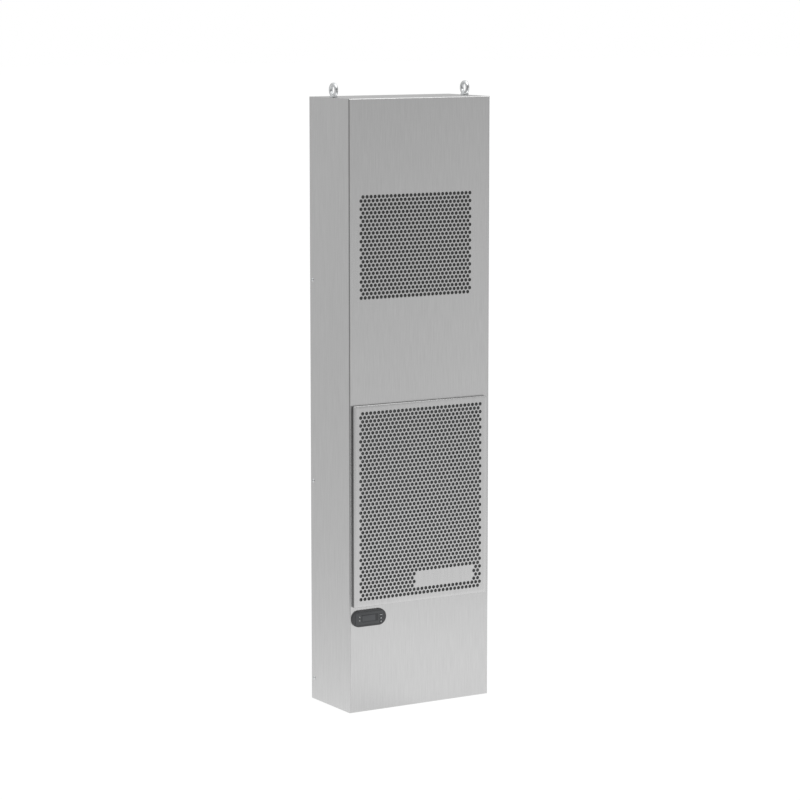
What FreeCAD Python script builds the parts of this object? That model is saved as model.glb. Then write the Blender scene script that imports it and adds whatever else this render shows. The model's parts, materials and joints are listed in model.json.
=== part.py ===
import FreeCAD, Part
import math
import os
from FreeCAD import Vector

# A wall-mounted air conditioner for an electrical enclosure.
# Millimetres. The front faces -Y, +X is to the right seen from the front, and Z is up from the base.
# The origin is at the base, midway across the width, and midway between the lower panel's face
# and the rear seal.

# Cover of brushed stainless sheet
width = 400.0
height = 1500.0
depth = 191.0
sheet = 1.5
cover_bend = 2.5
fit = 0.3
overrun = 1.0  # how far a cut runs past the face it opens

# Round perforation, punched in rows that are staggered by half a pitch
hole_diameter = 8.0
hole_pitch = 11.25
stagger_angle = 60.0
hole_sides = 6
skip_count = 3  # holes and rows left out between two that are cut; 0 cuts the whole pattern

# Upper grille, punched in the cover
upper_from_left = 33.4
upper_from_right = 57.4
upper_from_top = 235.0
upper_field_height = 244.0
upper_margin = 12.0

# Lower grille, a folded panel that stands off the cover
lower_from_left = 26.6
lower_from_right = 30.3
lower_top = 741.0
lower_field_height = 458.0
lower_margin = 19.2
panel_standoff = 8.0
panel_bend = 3.0
panel_corner = 5.0
blank_from_right = 50.0
blank_over_last_row = 14.6
blank_length = 168.75
blank_height = 39.0

# Air filter between the lower grille and the condenser
window_margin = 14.0
filter_thickness = 10.0
filter_rim = 12.0
filter_lip = 2.0
filter_lip_width = 6.0

# Controller with its oblong bezel
controller_length = 96.5
controller_height = 41.0
controller_from_left = 3.9
controller_below_panel = 29.5
bezel_proud = 4.5
bezel_edge = 1.5
bezel_end_flat = 0.01
face_length = 79.0
face_height = 33.0
face_corner = 4.0
face_proud = 1.2
case_length = 71.0
case_height = 29.0
case_depth = 60.0
display_length = 48.0
display_height = 18.0
display_thickness = 0.8
display_off_middle = 1.5
light_radius = 1.3
light_sides = 8
light_from_end = 12.0
light_rise = 4.25
key_length = 8.0
key_height = 6.0
key_proud = 0.6
key_from_end = 6.5
key_pitch = 8.5
keys_below_middle = 3.5

# Lifting eyebolts
eye_outer_diameter = 36.0
eye_inner_diameter = 20.0
eye_collar_diameter = 20.0
eye_neck_diameter = 12.0
eye_section_sides = 6
eye_thread_sides = 8
eye_collar_height = 6.0
eye_thread_diameter = 8.0
eye_thread_length = 13.0
eye_from_side = 13.0
bracket_thickness = 6.0
bracket_width = 36.0
bracket_reach = 18.0
thread_play = 0.1

# Side screws that hold the cover on the chassis
screw_heights = (53.0, 553.0, 1053.0)
screw_from_rear = 12.5
screw_diameter = 5.0
screw_head_diameter = 9.0
screw_crown_diameter = 6.0
screw_head_height = 2.2
screw_length = 9.0
screw_sides = 8
screw_play = 0.3

# Chassis: a shallow tray whose back closes the unit
chassis_flange = 25.0
intake_narrowing = 11.0
intake_depth = 26.0
intake_flange = 10.0
intake_sides = 32
outlet_from_side = 50.0
outlet_height = 180.0
outlet_over_floor = 68.0
outlet_corner = 8.0
seam_over_outlet = 15.0
insert_from_end = 80.0
insert_from_side = 30.0
insert_below_evaporator = 60.0
insert_bore = 6.0
insert_diameter = 10.4
insert_sides = 6
insert_length = 15.0
seal_thickness = 4.0
seal_width = 15.0
seal_inset = 4.0

# Partition between the ambient air in front and the enclosure air behind
partition_from_front = 100.0
partition_bend = 2.0
shelf_over_fan = 7.0
floor_below_panel = 2.0

# Condenser and its axial fan
coil_thickness = 40.0
coil_gap = 8.0
coil_end = 1.5
coil_from_side = 33.2
coil_overlap = 8.0
coil_foot = 24.0
fan_plate_from_front = 22.0
fan_plate_margin = 22.0
orifice_diameter = 236.0
orifice_depth = 20.0
rotor_diameter = 224.0
rotor_hub_diameter = 84.0
rotor_depth = 28.0
rotor_from_plate = 5.0
blade_count = 5
blade_thickness = 2.0
blade_root_chord = 44.0
blade_tip_chord = 78.0
blade_sweep = 10.0
blade_angle = 25.0
motor_diameter = 72.0
motor_length = 30.0
motor_gap = 2.0
motor_sides = 24
shaft_diameter = 8.0
shaft_sides = 12
arm_width = 14.0
arm_thickness = 3.0

# Evaporator and its radial fan
evaporator_below_shelf = 250.0
evaporator_height = 280.0
evaporator_from_side = 13.2
wheel_clearance = 4.5
wheel_ring_width = 23.0
wheel_width = 50.0
wheel_disc = 2.0
wheel_sides = 24
wheel_blade_count = 9
wheel_blade_thickness = 2.0
wheel_blade_radius = 70.0
wheel_blade_lean = 35.0
wheel_blade_short = 1.0
inlet_overlap = 3.0
wheel_motor_diameter = 92.0
wheel_motor_length = 20.0
wheel_bracket_half_width = 110.0
wheel_bracket_headroom = 23.0
wheel_bracket_foot = 30.0

# Condensate tray with its hose spigot, and the terminal block on the back
tray_from_front = 60.0
tray_bottom = 24.0
tray_height = 22.0
spigot_diameter = 15.0
spigot_bore = 11.0
spigot_end = 3.0
spigot_from_rear = 60.0
hose_hole_diameter = 34.0
terminal_length = 66.0
terminal_height = 24.0
terminal_depth = 30.0
terminal_below_floor = 92.0
terminal_ways = 6
terminal_pitch = 9.0
terminal_hole = 3.6
terminal_hole_depth = 12.0

# Planes and places that follow from the sizes above
front = -(panel_standoff + depth + seal_thickness) / 2 + panel_standoff
rear = front + depth
left = -width / 2
inside_x = width / 2 - sheet
chassis_x = inside_x - fit
chassis_bottom = sheet + fit
chassis_top = height - sheet - fit
partition_front = front + partition_from_front
partition_rear = partition_front + sheet
partition_half_width = chassis_x - cover_bend - fit
bracket_back = rear - cover_bend - fit
row_pitch = hole_pitch * math.sin(math.radians(stagger_angle))

# Grille fields: spaces between rows, and columns across
upper_row_spaces = int(upper_field_height / row_pitch)
upper_columns = round((width - upper_from_left - upper_from_right) / hole_pitch + 0.5)
upper_top = height - upper_from_top
lower_row_spaces = int(lower_field_height / row_pitch)
lower_columns = round((width - lower_from_left - lower_from_right) / hole_pitch + 0.5)
lower_end = lower_top - row_pitch * lower_row_spaces

# Compartments from the top down: the fan plate behind the upper grille sets the shelf over it
fan_height = upper_top - row_pitch * upper_row_spaces / 2
fan_plate_half_height = orifice_diameter / 2 + fan_plate_margin
shelf_height = fan_height + fan_plate_half_height + shelf_over_fan
intake_height = (shelf_height + sheet + chassis_top - sheet) / 2
wheel_diameter = chassis_top - shelf_height - 2 * sheet - 2 * wheel_clearance
wheel_eye_diameter = wheel_diameter - 2 * wheel_ring_width
throat_diameter = wheel_eye_diameter - 2 * intake_narrowing
evaporator_top = shelf_height - evaporator_below_shelf
evaporator_bottom = evaporator_top - evaporator_height
floor_height = lower_end - lower_margin - floor_below_panel
outlet_bottom = floor_height + outlet_over_floor
outlet_half_width = width / 2 - outlet_from_side
controller_mid_height = lower_end - lower_margin - controller_below_panel
terminal_mid_height = floor_height - terminal_below_floor
insert_heights = (insert_from_end, evaporator_bottom - insert_below_evaporator, height - insert_from_end)
coil_half_width = chassis_x - coil_from_side
evaporator_half_width = chassis_x - evaporator_from_side
y_axis = Vector(0, 1, 0)
z_axis = Vector(0, 0, 1)


def block(x_low, x_high, y_low, y_high, z_low, z_high):
    """Box between two corners."""
    return Part.makeBox(x_high - x_low, y_high - y_low, z_high - z_low, Vector(x_low, y_low, z_low))


def rod(radius, start, end):
    """Cylinder from one point to another."""
    run = end.sub(start)
    return Part.makeCylinder(radius, run.Length, start, run)


def straight_edges(shape, direction):
    """Straight edges of a shape that run along a direction."""
    chosen = []
    for edge in shape.Edges:
        if isinstance(edge.Curve, Part.Line) and abs(edge.Curve.Direction.dot(direction)) > 0.999:
            chosen.append(edge)
    return chosen


def edges_at_y(shape, y):
    """Edges of a shape that lie wholly in the plane at y."""
    chosen = []
    for edge in shape.Edges:
        box = edge.BoundBox
        if abs(box.YMin - y) < 1e-6 and abs(box.YMax - y) < 1e-6:
            chosen.append(edge)
    return chosen


def rounded_plate(x_low, x_high, y_low, y_high, z_low, z_high, corner):
    """Plate square to Y with round corners."""
    plate = block(x_low, x_high, y_low, y_high, z_low, z_high)
    return plate.makeFillet(corner, straight_edges(plate, y_axis))


def pan(x_half, z_low, z_high, y_face, y_open, corner, bend, thickness, middle=0.0):
    """Folded pan: a face at y_face with its four sides folded towards y_open."""
    inward = math.copysign(1.0, y_open - y_face)
    shells = []
    for inset in (0.0, thickness):
        y_near = y_face + inward * inset
        y_far = y_open + inward * inset
        solid = block(
            middle - x_half + inset,
            middle + x_half - inset,
            min(y_near, y_far),
            max(y_near, y_far),
            z_low + inset,
            z_high - inset,
        )
        if corner > inset:
            solid = solid.makeFillet(corner - inset, straight_edges(solid, y_axis))
        shells.append(solid)
    outer = shells[0].makeFillet(bend, edges_at_y(shells[0], y_face))
    return outer.cut(shells[1])


def folded_sheet(path, thickness, bend, x_half):
    """Sheet whose section follows a path of (y, z) points, thickened to the left of the path."""
    side = []
    for index, (y, z) in enumerate(path):
        normals = []
        for start, end in ((index - 1, index), (index, index + 1)):
            if start >= 0 and end < len(path):
                run_y = path[end][0] - path[start][0]
                run_z = path[end][1] - path[start][1]
                length = math.hypot(run_y, run_z)
                normals.append((-run_z / length, run_y / length))
        normal_y = sum(n[0] for n in normals)
        normal_z = sum(n[1] for n in normals)
        scale = thickness * len(normals) / (normal_y**2 + normal_z**2)
        if len(normals) == 1:
            scale = thickness
        side.append((y + normal_y * scale, z + normal_z * scale))
    outline = list(path) + side[::-1]
    points = [Vector(-x_half, y, z) for y, z in outline]
    face = Part.Face(Part.makePolygon(points + points[:1]))
    solid = face.extrude(Vector(2 * x_half, 0, 0))
    for inner, outer in zip(path[1:-1], side[1:-1]):
        turn = path_turn(path, path.index(inner))
        radii = (bend, bend + thickness) if turn > 0 else (bend + thickness, bend)
        for (y, z), radius in zip((outer, inner), radii):
            edges = []
            for edge in straight_edges(solid, Vector(1, 0, 0)):
                if math.hypot(edge.Vertexes[0].Y - y, edge.Vertexes[0].Z - z) < 1e-6:
                    edges.append(edge)
            solid = solid.makeFillet(radius, edges)
    return solid


def path_turn(path, index):
    """Positive where the path turns left at a point."""
    before = path[index - 1]
    here = path[index]
    after = path[index + 1]
    return (here[0] - before[0]) * (after[1] - here[1]) - (here[1] - before[1]) * (after[0] - here[0])


def pattern(columns, row_spaces, first_x, top_z, blank=None):
    """Hole centres (x, z) of a staggered field, thinned evenly; even rows are shifted by half a pitch."""
    step = int(skip_count) + 1
    centres = []
    for row in range(step // 2, row_spaces + 1, step):
        z = top_z - row_pitch * row
        half_pitch = 0.5 if row % 2 == 0 else 0.0
        for column in range(step * (row // step % 2) // 2, columns, step):
            x = first_x + hole_pitch * (column + half_pitch)
            if blank and blank[0] < x < blank[1] and blank[2] < z < blank[3]:
                continue
            centres.append((x, z))
    return centres


def outline_points(sides, radius, centre, axis):
    """Corners of a regular outline square to an axis, closed on its first corner."""
    across = z_axis if abs(axis.z) < 0.5 else y_axis
    aside = axis.cross(across)
    points = []
    for corner in range(sides):
        angle = 2 * math.pi * (corner + 0.5) / sides
        points.append(centre + aside * (radius * math.cos(angle)) + across * (radius * math.sin(angle)))
    return points + points[:1]


def prism(sides, radius, start, end):
    """Few-sided pin from one point to another, with its corners on a circle."""
    run = end.sub(start)
    points = outline_points(sides, radius, start, Vector(run).normalize())
    return Part.Face(Part.makePolygon(points)).extrude(run)


def taper(sides, start_radius, end_radius, start, end):
    """Few-sided cone between two points."""
    axis = end.sub(start).normalize()
    near = outline_points(sides, start_radius, start, axis)
    far = outline_points(sides, end_radius, end, axis)
    faces = [Part.Face(Part.makePolygon(near)), Part.Face(Part.makePolygon(far))]
    for side in range(sides):
        corners = [near[side], near[side + 1], far[side + 1], far[side], near[side]]
        faces.append(Part.Face(Part.makePolygon(corners)))
    return Part.Solid(Part.Shell(faces))


def upper_window():
    """Edges (x_low, x_high, z_low, z_high) of the field that the upper grille fills in the cover."""
    reach = hole_diameter / 2 + upper_margin
    x_low = left + upper_from_left - reach
    x_high = left + upper_from_left + hole_pitch * (upper_columns - 0.5) + reach
    z_low = upper_top - row_pitch * upper_row_spaces - reach
    return x_low, x_high, z_low, upper_top + reach


def lower_panel():
    """Outer edges (x_low, x_high, z_low, z_high) of the lower grille's folded panel."""
    x_low = left + lower_from_left - lower_margin
    x_high = left + lower_from_left + hole_pitch * (lower_columns - 0.5) + lower_margin
    return x_low, x_high, lower_end - lower_margin, lower_top + lower_margin


def blank_patch():
    """Edges of the patch of the lower grille that has no holes."""
    x_high = width / 2 - blank_from_right
    z_low = lower_end + blank_over_last_row
    return x_high - blank_length, x_high, z_low, z_low + blank_height


def filter_window():
    """Edges of the opening in the cover behind the lower grille."""
    x_low, x_high, z_low, z_high = lower_panel()
    return x_low + window_margin, x_high - window_margin, z_low + window_margin, z_high - window_margin


def controller_middle():
    """Middle (x, z) of the controller."""
    return left + controller_from_left + controller_length / 2, controller_mid_height


def eyebolt_places():
    """Middle (x, y) of the two eyebolts."""
    reach = width / 2 - eye_from_side
    return (-reach, front + depth / 2), (reach, front + depth / 2)


def screw_holes(half_width, play):
    """Cutters for the side screws' holes through both sides of a sheet box."""
    y = rear - screw_from_rear
    radius = screw_diameter / 2 + play
    cutters = []
    for z in screw_heights:
        for side in (-1, 1):
            start = Vector(side * (half_width - sheet - overrun), y, z)
            cutters.append(prism(screw_sides, radius, start, Vector(side * (half_width + overrun), y, z)))
    return cutters


def bent_cover():
    """Whole bent cover with its grille field, filter opening, controller cut-out and screw holes."""
    cover = pan(width / 2, 0.0, height, front, rear, 0.0, cover_bend, sheet)
    y_low = front - overrun
    y_high = front + sheet + overrun
    cuts = []
    for x_low, x_high, z_low, z_high in (upper_window(), filter_window()):
        cuts.append(block(x_low, x_high, y_low, y_high, z_low, z_high))
    x, z = controller_middle()
    half_length = case_length / 2 + fit
    half_height = case_height / 2 + fit
    cuts.append(block(x - half_length, x + half_length, y_low, y_high, z - half_height, z + half_height))
    for x, y in eyebolt_places():
        radius = eye_thread_diameter / 2 + screw_play
        start = Vector(x, y, height - sheet - overrun)
        cuts.append(prism(eye_thread_sides, radius, start, Vector(x, y, height + overrun)))
    cuts += screw_holes(width / 2, screw_play)
    y = rear - spigot_from_rear
    cuts.append(rod(hose_hole_diameter / 2, Vector(0, y, -overrun), Vector(0, y, sheet + overrun)))
    return cover.cut(Part.makeCompound(cuts))


def split_cover():
    """The cover's five panels. Each side, the top and the base keep their own bends."""
    cover = bent_cover()
    x_in = width / 2 - cover_bend
    x_out = width / 2
    z_high = height - cover_bend
    return {
        "cover_front": cover.common(block(-x_in, x_in, front, front + cover_bend, cover_bend, z_high)),
        "cover_left_side": cover.common(block(-x_out, -x_in, front, rear, 0, height)),
        "cover_right_side": cover.common(block(x_in, x_out, front, rear, 0, height)),
        "cover_top": cover.common(block(-x_in, x_in, front, rear, z_high, height)),
        "cover_base": cover.common(block(-x_in, x_in, front, rear, 0, cover_bend)),
    }


def make_upper_grille():
    """Perforated field of the cover's front, flush with the sheet around it."""
    x_low, x_high, z_low, z_high = upper_window()
    corners = ((x_low, z_low), (x_high, z_low), (x_high, z_high), (x_low, z_high), (x_low, z_low))
    wires = [Part.makePolygon([Vector(x, front, z) for x, z in corners])]
    for x, z in pattern(upper_columns, upper_row_spaces, left + upper_from_left, upper_top):
        centre = Vector(x, front, z)
        wires.append(Part.makePolygon(outline_points(hole_sides, hole_diameter / 2, centre, y_axis)))
    face = Part.makeFace(Part.makeCompound(wires), "Part::FaceMakerBullseye")
    return face.extrude(Vector(0, sheet, 0))


def make_lower_grille():
    """Folded panel that stands off the cover, perforated but for a blank patch low on the right."""
    x_low, x_high, z_low, z_high = lower_panel()
    face_y = front - panel_standoff
    middle = (x_low + x_high) / 2
    panel = pan((x_high - x_low) / 2, z_low, z_high, face_y, front, panel_corner, panel_bend, sheet, middle)
    punches = []
    for x, z in pattern(lower_columns, lower_row_spaces, left + lower_from_left, lower_top, blank_patch()):
        start = Vector(x, face_y - overrun, z)
        punches.append(prism(hole_sides, hole_diameter / 2, start, start + Vector(0, sheet + 2 * overrun, 0)))
    return panel.cut(Part.makeCompound(punches))


def make_filter_mat():
    """Filter mat that fills the cover's opening behind the lower grille."""
    x_low, x_high, z_low, z_high = filter_window()
    y = front - panel_standoff + sheet + fit
    back = y + filter_thickness
    return block(x_low + fit, x_high - fit, y, back, z_low + fit, z_high - fit)


def make_filter_frame():
    """Frame behind the cover that guides the mat, with a lip behind it."""
    x_low, x_high, z_low, z_high = filter_window()
    y = front + sheet
    lip_front = front - panel_standoff + sheet + filter_thickness + 2 * fit
    back = lip_front + filter_lip
    outer = block(x_low - filter_rim, x_high + filter_rim, y, back, z_low - filter_rim, z_high + filter_rim)
    channel = block(x_low, x_high, y - overrun, lip_front, z_low, z_high)
    lip = filter_lip_width
    through = block(x_low + lip, x_high - lip, y - overrun, back + overrun, z_low + lip, z_high - lip)
    return outer.cut(channel).cut(through)


def controller_planes():
    """Planes of the face's front, the display's back and the seat that the face and case share."""
    seat = front - bezel_proud + face_proud
    face_front = front - bezel_proud - face_proud / 2
    return face_front, face_front + display_thickness, seat


def centred_plate(x, z, length, tall, y_low, y_high, corner=0.0):
    """Plate square to Y about a middle point, with round corners if a radius is given."""
    edges = (x - length / 2, x + length / 2, y_low, y_high, z - tall / 2, z + tall / 2)
    if corner > 0:
        return rounded_plate(*edges, corner)
    return block(*edges)


def make_bezel():
    """Oblong bezel with round ends, a chamfered front, a recess for the face and a way for the case."""
    x, z = controller_middle()
    seat = controller_planes()[2]
    y = front - bezel_proud
    end_radius = controller_height / 2 - bezel_end_flat
    bezel = centred_plate(x, z, controller_length, controller_height, y, front, end_radius)
    bezel = bezel.makeChamfer(bezel_edge, edges_at_y(bezel, y))
    recess = centred_plate(x, z, face_length, face_height, y - overrun, seat, face_corner)
    case_way = centred_plate(x, z, case_length, case_height, seat - overrun, front + overrun)
    return bezel.cut(recess).cut(case_way)


def display_block():
    """Display window in the controller's face."""
    x, z = controller_middle()
    face_front, display_back, seat = controller_planes()
    return centred_plate(x + display_off_middle, z, display_length, display_height, face_front, display_back)


def light_pins():
    """The two indicator lights in the controller's face."""
    x, z = controller_middle()
    face_front, display_back, seat = controller_planes()
    light_x = x - face_length / 2 + light_from_end
    pins = []
    for rise in (-light_rise, light_rise):
        start = Vector(light_x, face_front, z + rise)
        pins.append(prism(light_sides, light_radius, start, Vector(light_x, display_back, z + rise)))
    return pins


def make_controller_face():
    """Face of the controller, cut out for the display and the lights."""
    x, z = controller_middle()
    face_front, display_back, seat = controller_planes()
    length = face_length - 2 * fit
    face = centred_plate(x, z, length, face_height - 2 * fit, face_front, seat, face_corner - fit)
    return face.cut(Part.makeCompound([display_block()] + light_pins()))


def make_keys():
    """Three keys in a column at the right end of the controller's face."""
    x, z = controller_middle()
    face_front = controller_planes()[0]
    key_x = x + face_length / 2 - key_from_end
    keys = []
    for rise in (-key_pitch, 0, key_pitch):
        key_z = z - keys_below_middle + rise
        keys.append(centred_plate(key_x, key_z, key_length, key_height, face_front - key_proud, face_front))
    return Part.makeCompound(keys)


def make_case():
    """Case of the controller behind the bezel."""
    x, z = controller_middle()
    return centred_plate(x, z, case_length, case_height, controller_planes()[2], front + case_depth)


def make_eyebolt(x, y):
    """Lifting eyebolt with its ring square to X, its collar on the cover and its thread below."""
    section = (eye_outer_diameter - eye_inner_diameter) / 4
    ring_radius = (eye_outer_diameter + eye_inner_diameter) / 4
    middle = Vector(x, y, height + eye_outer_diameter / 2)
    outline = outline_points(eye_section_sides, section, middle + Vector(0, 0, ring_radius), y_axis)
    ring = Part.Face(Part.makePolygon(outline)).revolve(middle, Vector(1, 0, 0), 360)
    seat = Vector(x, y, height)
    collar = Part.makeCone(eye_collar_diameter / 2, eye_neck_diameter / 2, eye_collar_height, seat, z_axis)
    thread = prism(eye_thread_sides, eye_thread_diameter / 2, seat - z_axis * eye_thread_length, seat)
    return ring.fuse([collar, thread])


def make_lifting_bracket(x, y):
    """Thick plate under the chassis flange, tapped for the eyebolt."""
    top = chassis_top - sheet
    bottom = top - bracket_thickness
    side = math.copysign(1.0, x)
    x_outer = side * partition_half_width
    x_inner = x_outer - side * bracket_width
    plate = block(min(x_inner, x_outer), max(x_inner, x_outer), y - bracket_reach, bracket_back, bottom, top)
    radius = eye_thread_diameter / 2 + thread_play
    start = Vector(x, y, bottom - overrun)
    return plate.cut(prism(eye_thread_sides, radius, start, Vector(x, y, top + overrun)))


def make_side_screws(side):
    """Three domed screws through one side of the cover into the chassis flange."""
    y = rear - screw_from_rear
    outward = Vector(side, 0, 0)
    screws = []
    for z in screw_heights:
        seat = Vector(side * width / 2, y, z)
        crown = screw_crown_diameter / 2
        head = Part.makeCone(screw_head_diameter / 2, crown, screw_head_height, seat, outward)
        screws.append(head.fuse(prism(screw_sides, screw_diameter / 2, seat - outward * screw_length, seat)))
    return Part.makeCompound(screws)


def insert_places():
    """Middle (x, z) of the threaded inserts in the back."""
    x = width / 2 - insert_from_side
    return [(side * x, z) for z in insert_heights for side in (-1, 1)]


def bent_chassis():
    """Whole chassis tray with the round intake above, the oblong outlet below, and its fixing holes."""
    tray = pan(chassis_x, chassis_bottom, chassis_top, rear, rear - chassis_flange, 0.0, cover_bend, sheet)
    y_low = rear - sheet - overrun
    y_high = rear + overrun
    x = outlet_half_width
    outlet_top = outlet_bottom + outlet_height
    cuts = [
        rounded_plate(-x, x, y_low, y_high, outlet_bottom, outlet_top, outlet_corner),
        rod(wheel_eye_diameter / 2, Vector(0, y_low, intake_height), Vector(0, y_high, intake_height)),
        centred_plate(0, terminal_mid_height, terminal_length, terminal_height, y_low, y_high),
    ]
    for x, z in insert_places():
        cuts.append(prism(insert_sides, insert_diameter / 2, Vector(x, y_low, z), Vector(x, y_high, z)))
    cuts += screw_holes(chassis_x, thread_play)
    return tray.cut(Part.makeCompound(cuts))


def split_chassis():
    """The chassis as four back panels, two side flanges and two end flanges, which keep the bends."""
    tray = bent_chassis()
    x_in = chassis_x - cover_bend
    x_out = chassis_x
    z_low = chassis_bottom + cover_bend
    z_high = chassis_top - cover_bend
    y = rear - chassis_flange
    sides = [
        tray.common(block(-x_out, -x_in, y, rear, chassis_bottom, chassis_top)),
        tray.common(block(x_in, x_out, y, rear, chassis_bottom, chassis_top)),
    ]
    ends = [
        tray.common(block(-x_in, x_in, y, rear, chassis_bottom, z_low)),
        tray.common(block(-x_in, x_in, y, rear, z_high, chassis_top)),
    ]
    seam_low = outlet_bottom + outlet_height + seam_over_outlet
    seam_high = shelf_height
    return {
        "terminal_panel": tray.common(block(-x_in, x_in, y, rear, z_low, floor_height)),
        "outlet_panel": tray.common(block(-x_in, x_in, y, rear, floor_height, seam_low)),
        "back_plate": tray.common(block(-x_in, x_in, y, rear, seam_low, seam_high)),
        "intake_panel": tray.common(block(-x_in, x_in, y, rear, seam_high, z_high)),
        "chassis_sides": Part.makeCompound(sides),
        "chassis_ends": Part.makeCompound(ends),
    }


def make_intake_ring():
    """Nozzle with a flange against the back, which leads the enclosure air into the radial fan."""
    mouth = wheel_eye_diameter / 2
    throat = throat_diameter / 2
    flange_back = rear - sheet
    flange_front = flange_back - sheet
    tip = rear - intake_depth
    flange = prism(intake_sides, mouth + intake_flange, wheel_axis(flange_front), wheel_axis(flange_back))
    outside = taper(intake_sides, mouth + sheet, throat + sheet, wheel_axis(flange_front), wheel_axis(tip))
    inside = taper(intake_sides, mouth, throat, wheel_axis(flange_back), wheel_axis(tip))
    return flange.fuse(outside).cut(inside)


def make_wall_inserts():
    """Threaded inserts that take the fixing bolts."""
    inserts = []
    for x, z in insert_places():
        start = Vector(x, rear - insert_length, z)
        end = Vector(x, rear, z)
        bore = rod(insert_bore / 2, start - y_axis * overrun, end + y_axis * overrun)
        inserts.append(prism(insert_sides, insert_diameter / 2, start, end).cut(bore))
    return Part.makeCompound(inserts)


def make_rear_seal():
    """Foam seal that runs round the back."""
    x = chassis_x - seal_inset
    z_low = chassis_bottom + seal_inset
    z_high = chassis_top - seal_inset
    outer = rounded_plate(-x, x, rear, rear + seal_thickness, z_low, z_high, seal_width)
    w = seal_width
    y_high = rear + seal_thickness + overrun
    inner = block(-x + w, x - w, rear - overrun, y_high, z_low + w, z_high - w)
    return outer.cut(inner)


def make_partition():
    """Sheet folded like a Z: a shelf to the cover, an upright web, and a floor to the back."""
    path = [
        (rear - sheet, floor_height),
        (partition_front, floor_height),
        (partition_front, shelf_height),
        (front + sheet + fit, shelf_height),
    ]
    return folded_sheet(path[::-1], sheet, partition_bend, partition_half_width)


def coil_edges():
    """Edges (y_front, y_back, z_low, z_high) of the condenser's fin block."""
    x_low, x_high, z_low, z_high = filter_window()
    y = front - panel_standoff + sheet + filter_thickness + 2 * fit + filter_lip + coil_gap
    return y, y + coil_thickness, z_low - coil_overlap, z_high + coil_overlap


def make_condenser_coil():
    """Fin block of the condenser."""
    y_front, y_back, z_low, z_high = coil_edges()
    return block(-coil_half_width, coil_half_width, y_front, y_back, z_low, z_high)


def make_condenser_frame():
    """Two end plates, folded at the back, that carry the fin block on the partition."""
    y_front, y_back, z_low, z_high = coil_edges()
    plates = []
    for side in (-1, 1):
        x_near = side * coil_half_width
        x_far = side * (coil_half_width + coil_end)
        web = block(min(x_near, x_far), max(x_near, x_far), y_front, partition_front, z_low, z_high)
        foot_far = x_far + side * coil_foot
        foot_y = partition_front - coil_end
        foot = block(min(x_near, foot_far), max(x_near, foot_far), foot_y, partition_front, z_low, z_high)
        plates.append(web.fuse(foot).removeSplitter())
    return Part.makeCompound(plates)


def fan_axis(y):
    """Point on the condenser fan's axis."""
    return Vector(0, y, fan_height)


def make_fan_plate():
    """Folded plate behind the upper grille with a flanged round orifice."""
    face_y = front + fan_plate_from_front
    z_low = fan_height - fan_plate_half_height
    z_high = fan_height + fan_plate_half_height
    plate = pan(inside_x - fit, z_low, z_high, face_y, partition_front, 0.0, cover_bend, sheet)
    radius = orifice_diameter / 2
    collar = rod(radius + sheet, fan_axis(face_y + sheet / 2), fan_axis(face_y + orifice_depth))
    opening = rod(radius, fan_axis(face_y - overrun), fan_axis(face_y + orifice_depth + overrun))
    return plate.fuse(collar).cut(opening).removeSplitter()


def make_fan_rotor():
    """Hub cup and twisted blades of the condenser fan."""
    y_front = front + fan_plate_from_front + rotor_from_plate
    y_back = y_front + rotor_depth
    hub = prism(motor_sides, rotor_hub_diameter / 2, fan_axis(y_front), fan_axis(y_back))
    well_front = y_front + sheet + motor_gap
    well_radius = motor_diameter / 2 + motor_gap
    well = prism(motor_sides, well_radius, fan_axis(well_front), fan_axis(y_back + overrun))
    bore = prism(shaft_sides, shaft_diameter / 2 + thread_play, fan_axis(y_front + sheet), fan_axis(y_back))
    hub = hub.cut(well).cut(bore)
    blades = []
    for index in range(blade_count):
        blade = fan_blade((y_front + y_back) / 2)
        blade.rotate(fan_axis(0), y_axis, 360.0 * index / blade_count)
        blades.append(blade)
    return hub.fuse(blades)


def fan_blade(y_middle):
    """One blade, wider and swept forward at its tip, pitched about its own length."""
    root = rotor_hub_diameter / 2 - motor_gap / 2
    tip = math.sqrt((rotor_diameter / 2) ** 2 - (blade_tip_chord / 2 + blade_sweep) ** 2)
    outline = (
        (-blade_root_chord / 2, root),
        (blade_root_chord / 2, root),
        (blade_tip_chord / 2 + blade_sweep, tip),
        (-blade_tip_chord / 2 + blade_sweep, tip),
    )
    points = [Vector(x, y_middle - blade_thickness / 2, fan_height + z) for x, z in outline]
    blade = Part.Face(Part.makePolygon(points + points[:1])).extrude(Vector(0, blade_thickness, 0))
    blade.rotate(Vector(0, y_middle, fan_height), z_axis, blade_angle)
    return blade


def motor_front():
    """Front plane of the condenser fan's motor."""
    return front + fan_plate_from_front + rotor_from_plate + 2 * motor_gap + sheet


def make_fan_motor():
    """Motor with its shaft."""
    y = motor_front()
    body = prism(motor_sides, motor_diameter / 2, fan_axis(y), fan_axis(y + motor_length))
    tip = front + fan_plate_from_front + rotor_from_plate + sheet + fit
    return body.fuse(prism(shaft_sides, shaft_diameter / 2, fan_axis(tip), fan_axis(y)))


def make_fan_bracket():
    """Four arms behind the motor, on posts that stand on the fan plate."""
    y = motor_front() + motor_length
    reach = orifice_diameter / 2 + arm_width
    centre = Vector(0, y, fan_height)
    arm = block(-reach, reach, y, y + arm_thickness, fan_height - arm_width / 2, fan_height + arm_width / 2)
    upright = arm.copy()
    upright.rotate(centre, y_axis, 90)
    bracket = arm.fuse(upright)
    plate_back = front + fan_plate_from_front + sheet
    for angle in (0, 90, 180, 270):
        z_low = fan_height - arm_width / 2
        post = block(reach - arm_thickness, reach, plate_back, y, z_low, z_low + arm_width)
        post.rotate(centre, y_axis, angle)
        bracket = bracket.fuse(post)
    bracket.rotate(centre, y_axis, 45)
    return bracket.removeSplitter()


def make_evaporator_coil():
    """Fin block of the evaporator, held between the partition and the back."""
    x = evaporator_half_width
    return block(-x, x, partition_rear, rear - sheet, evaporator_bottom, evaporator_top)


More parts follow.
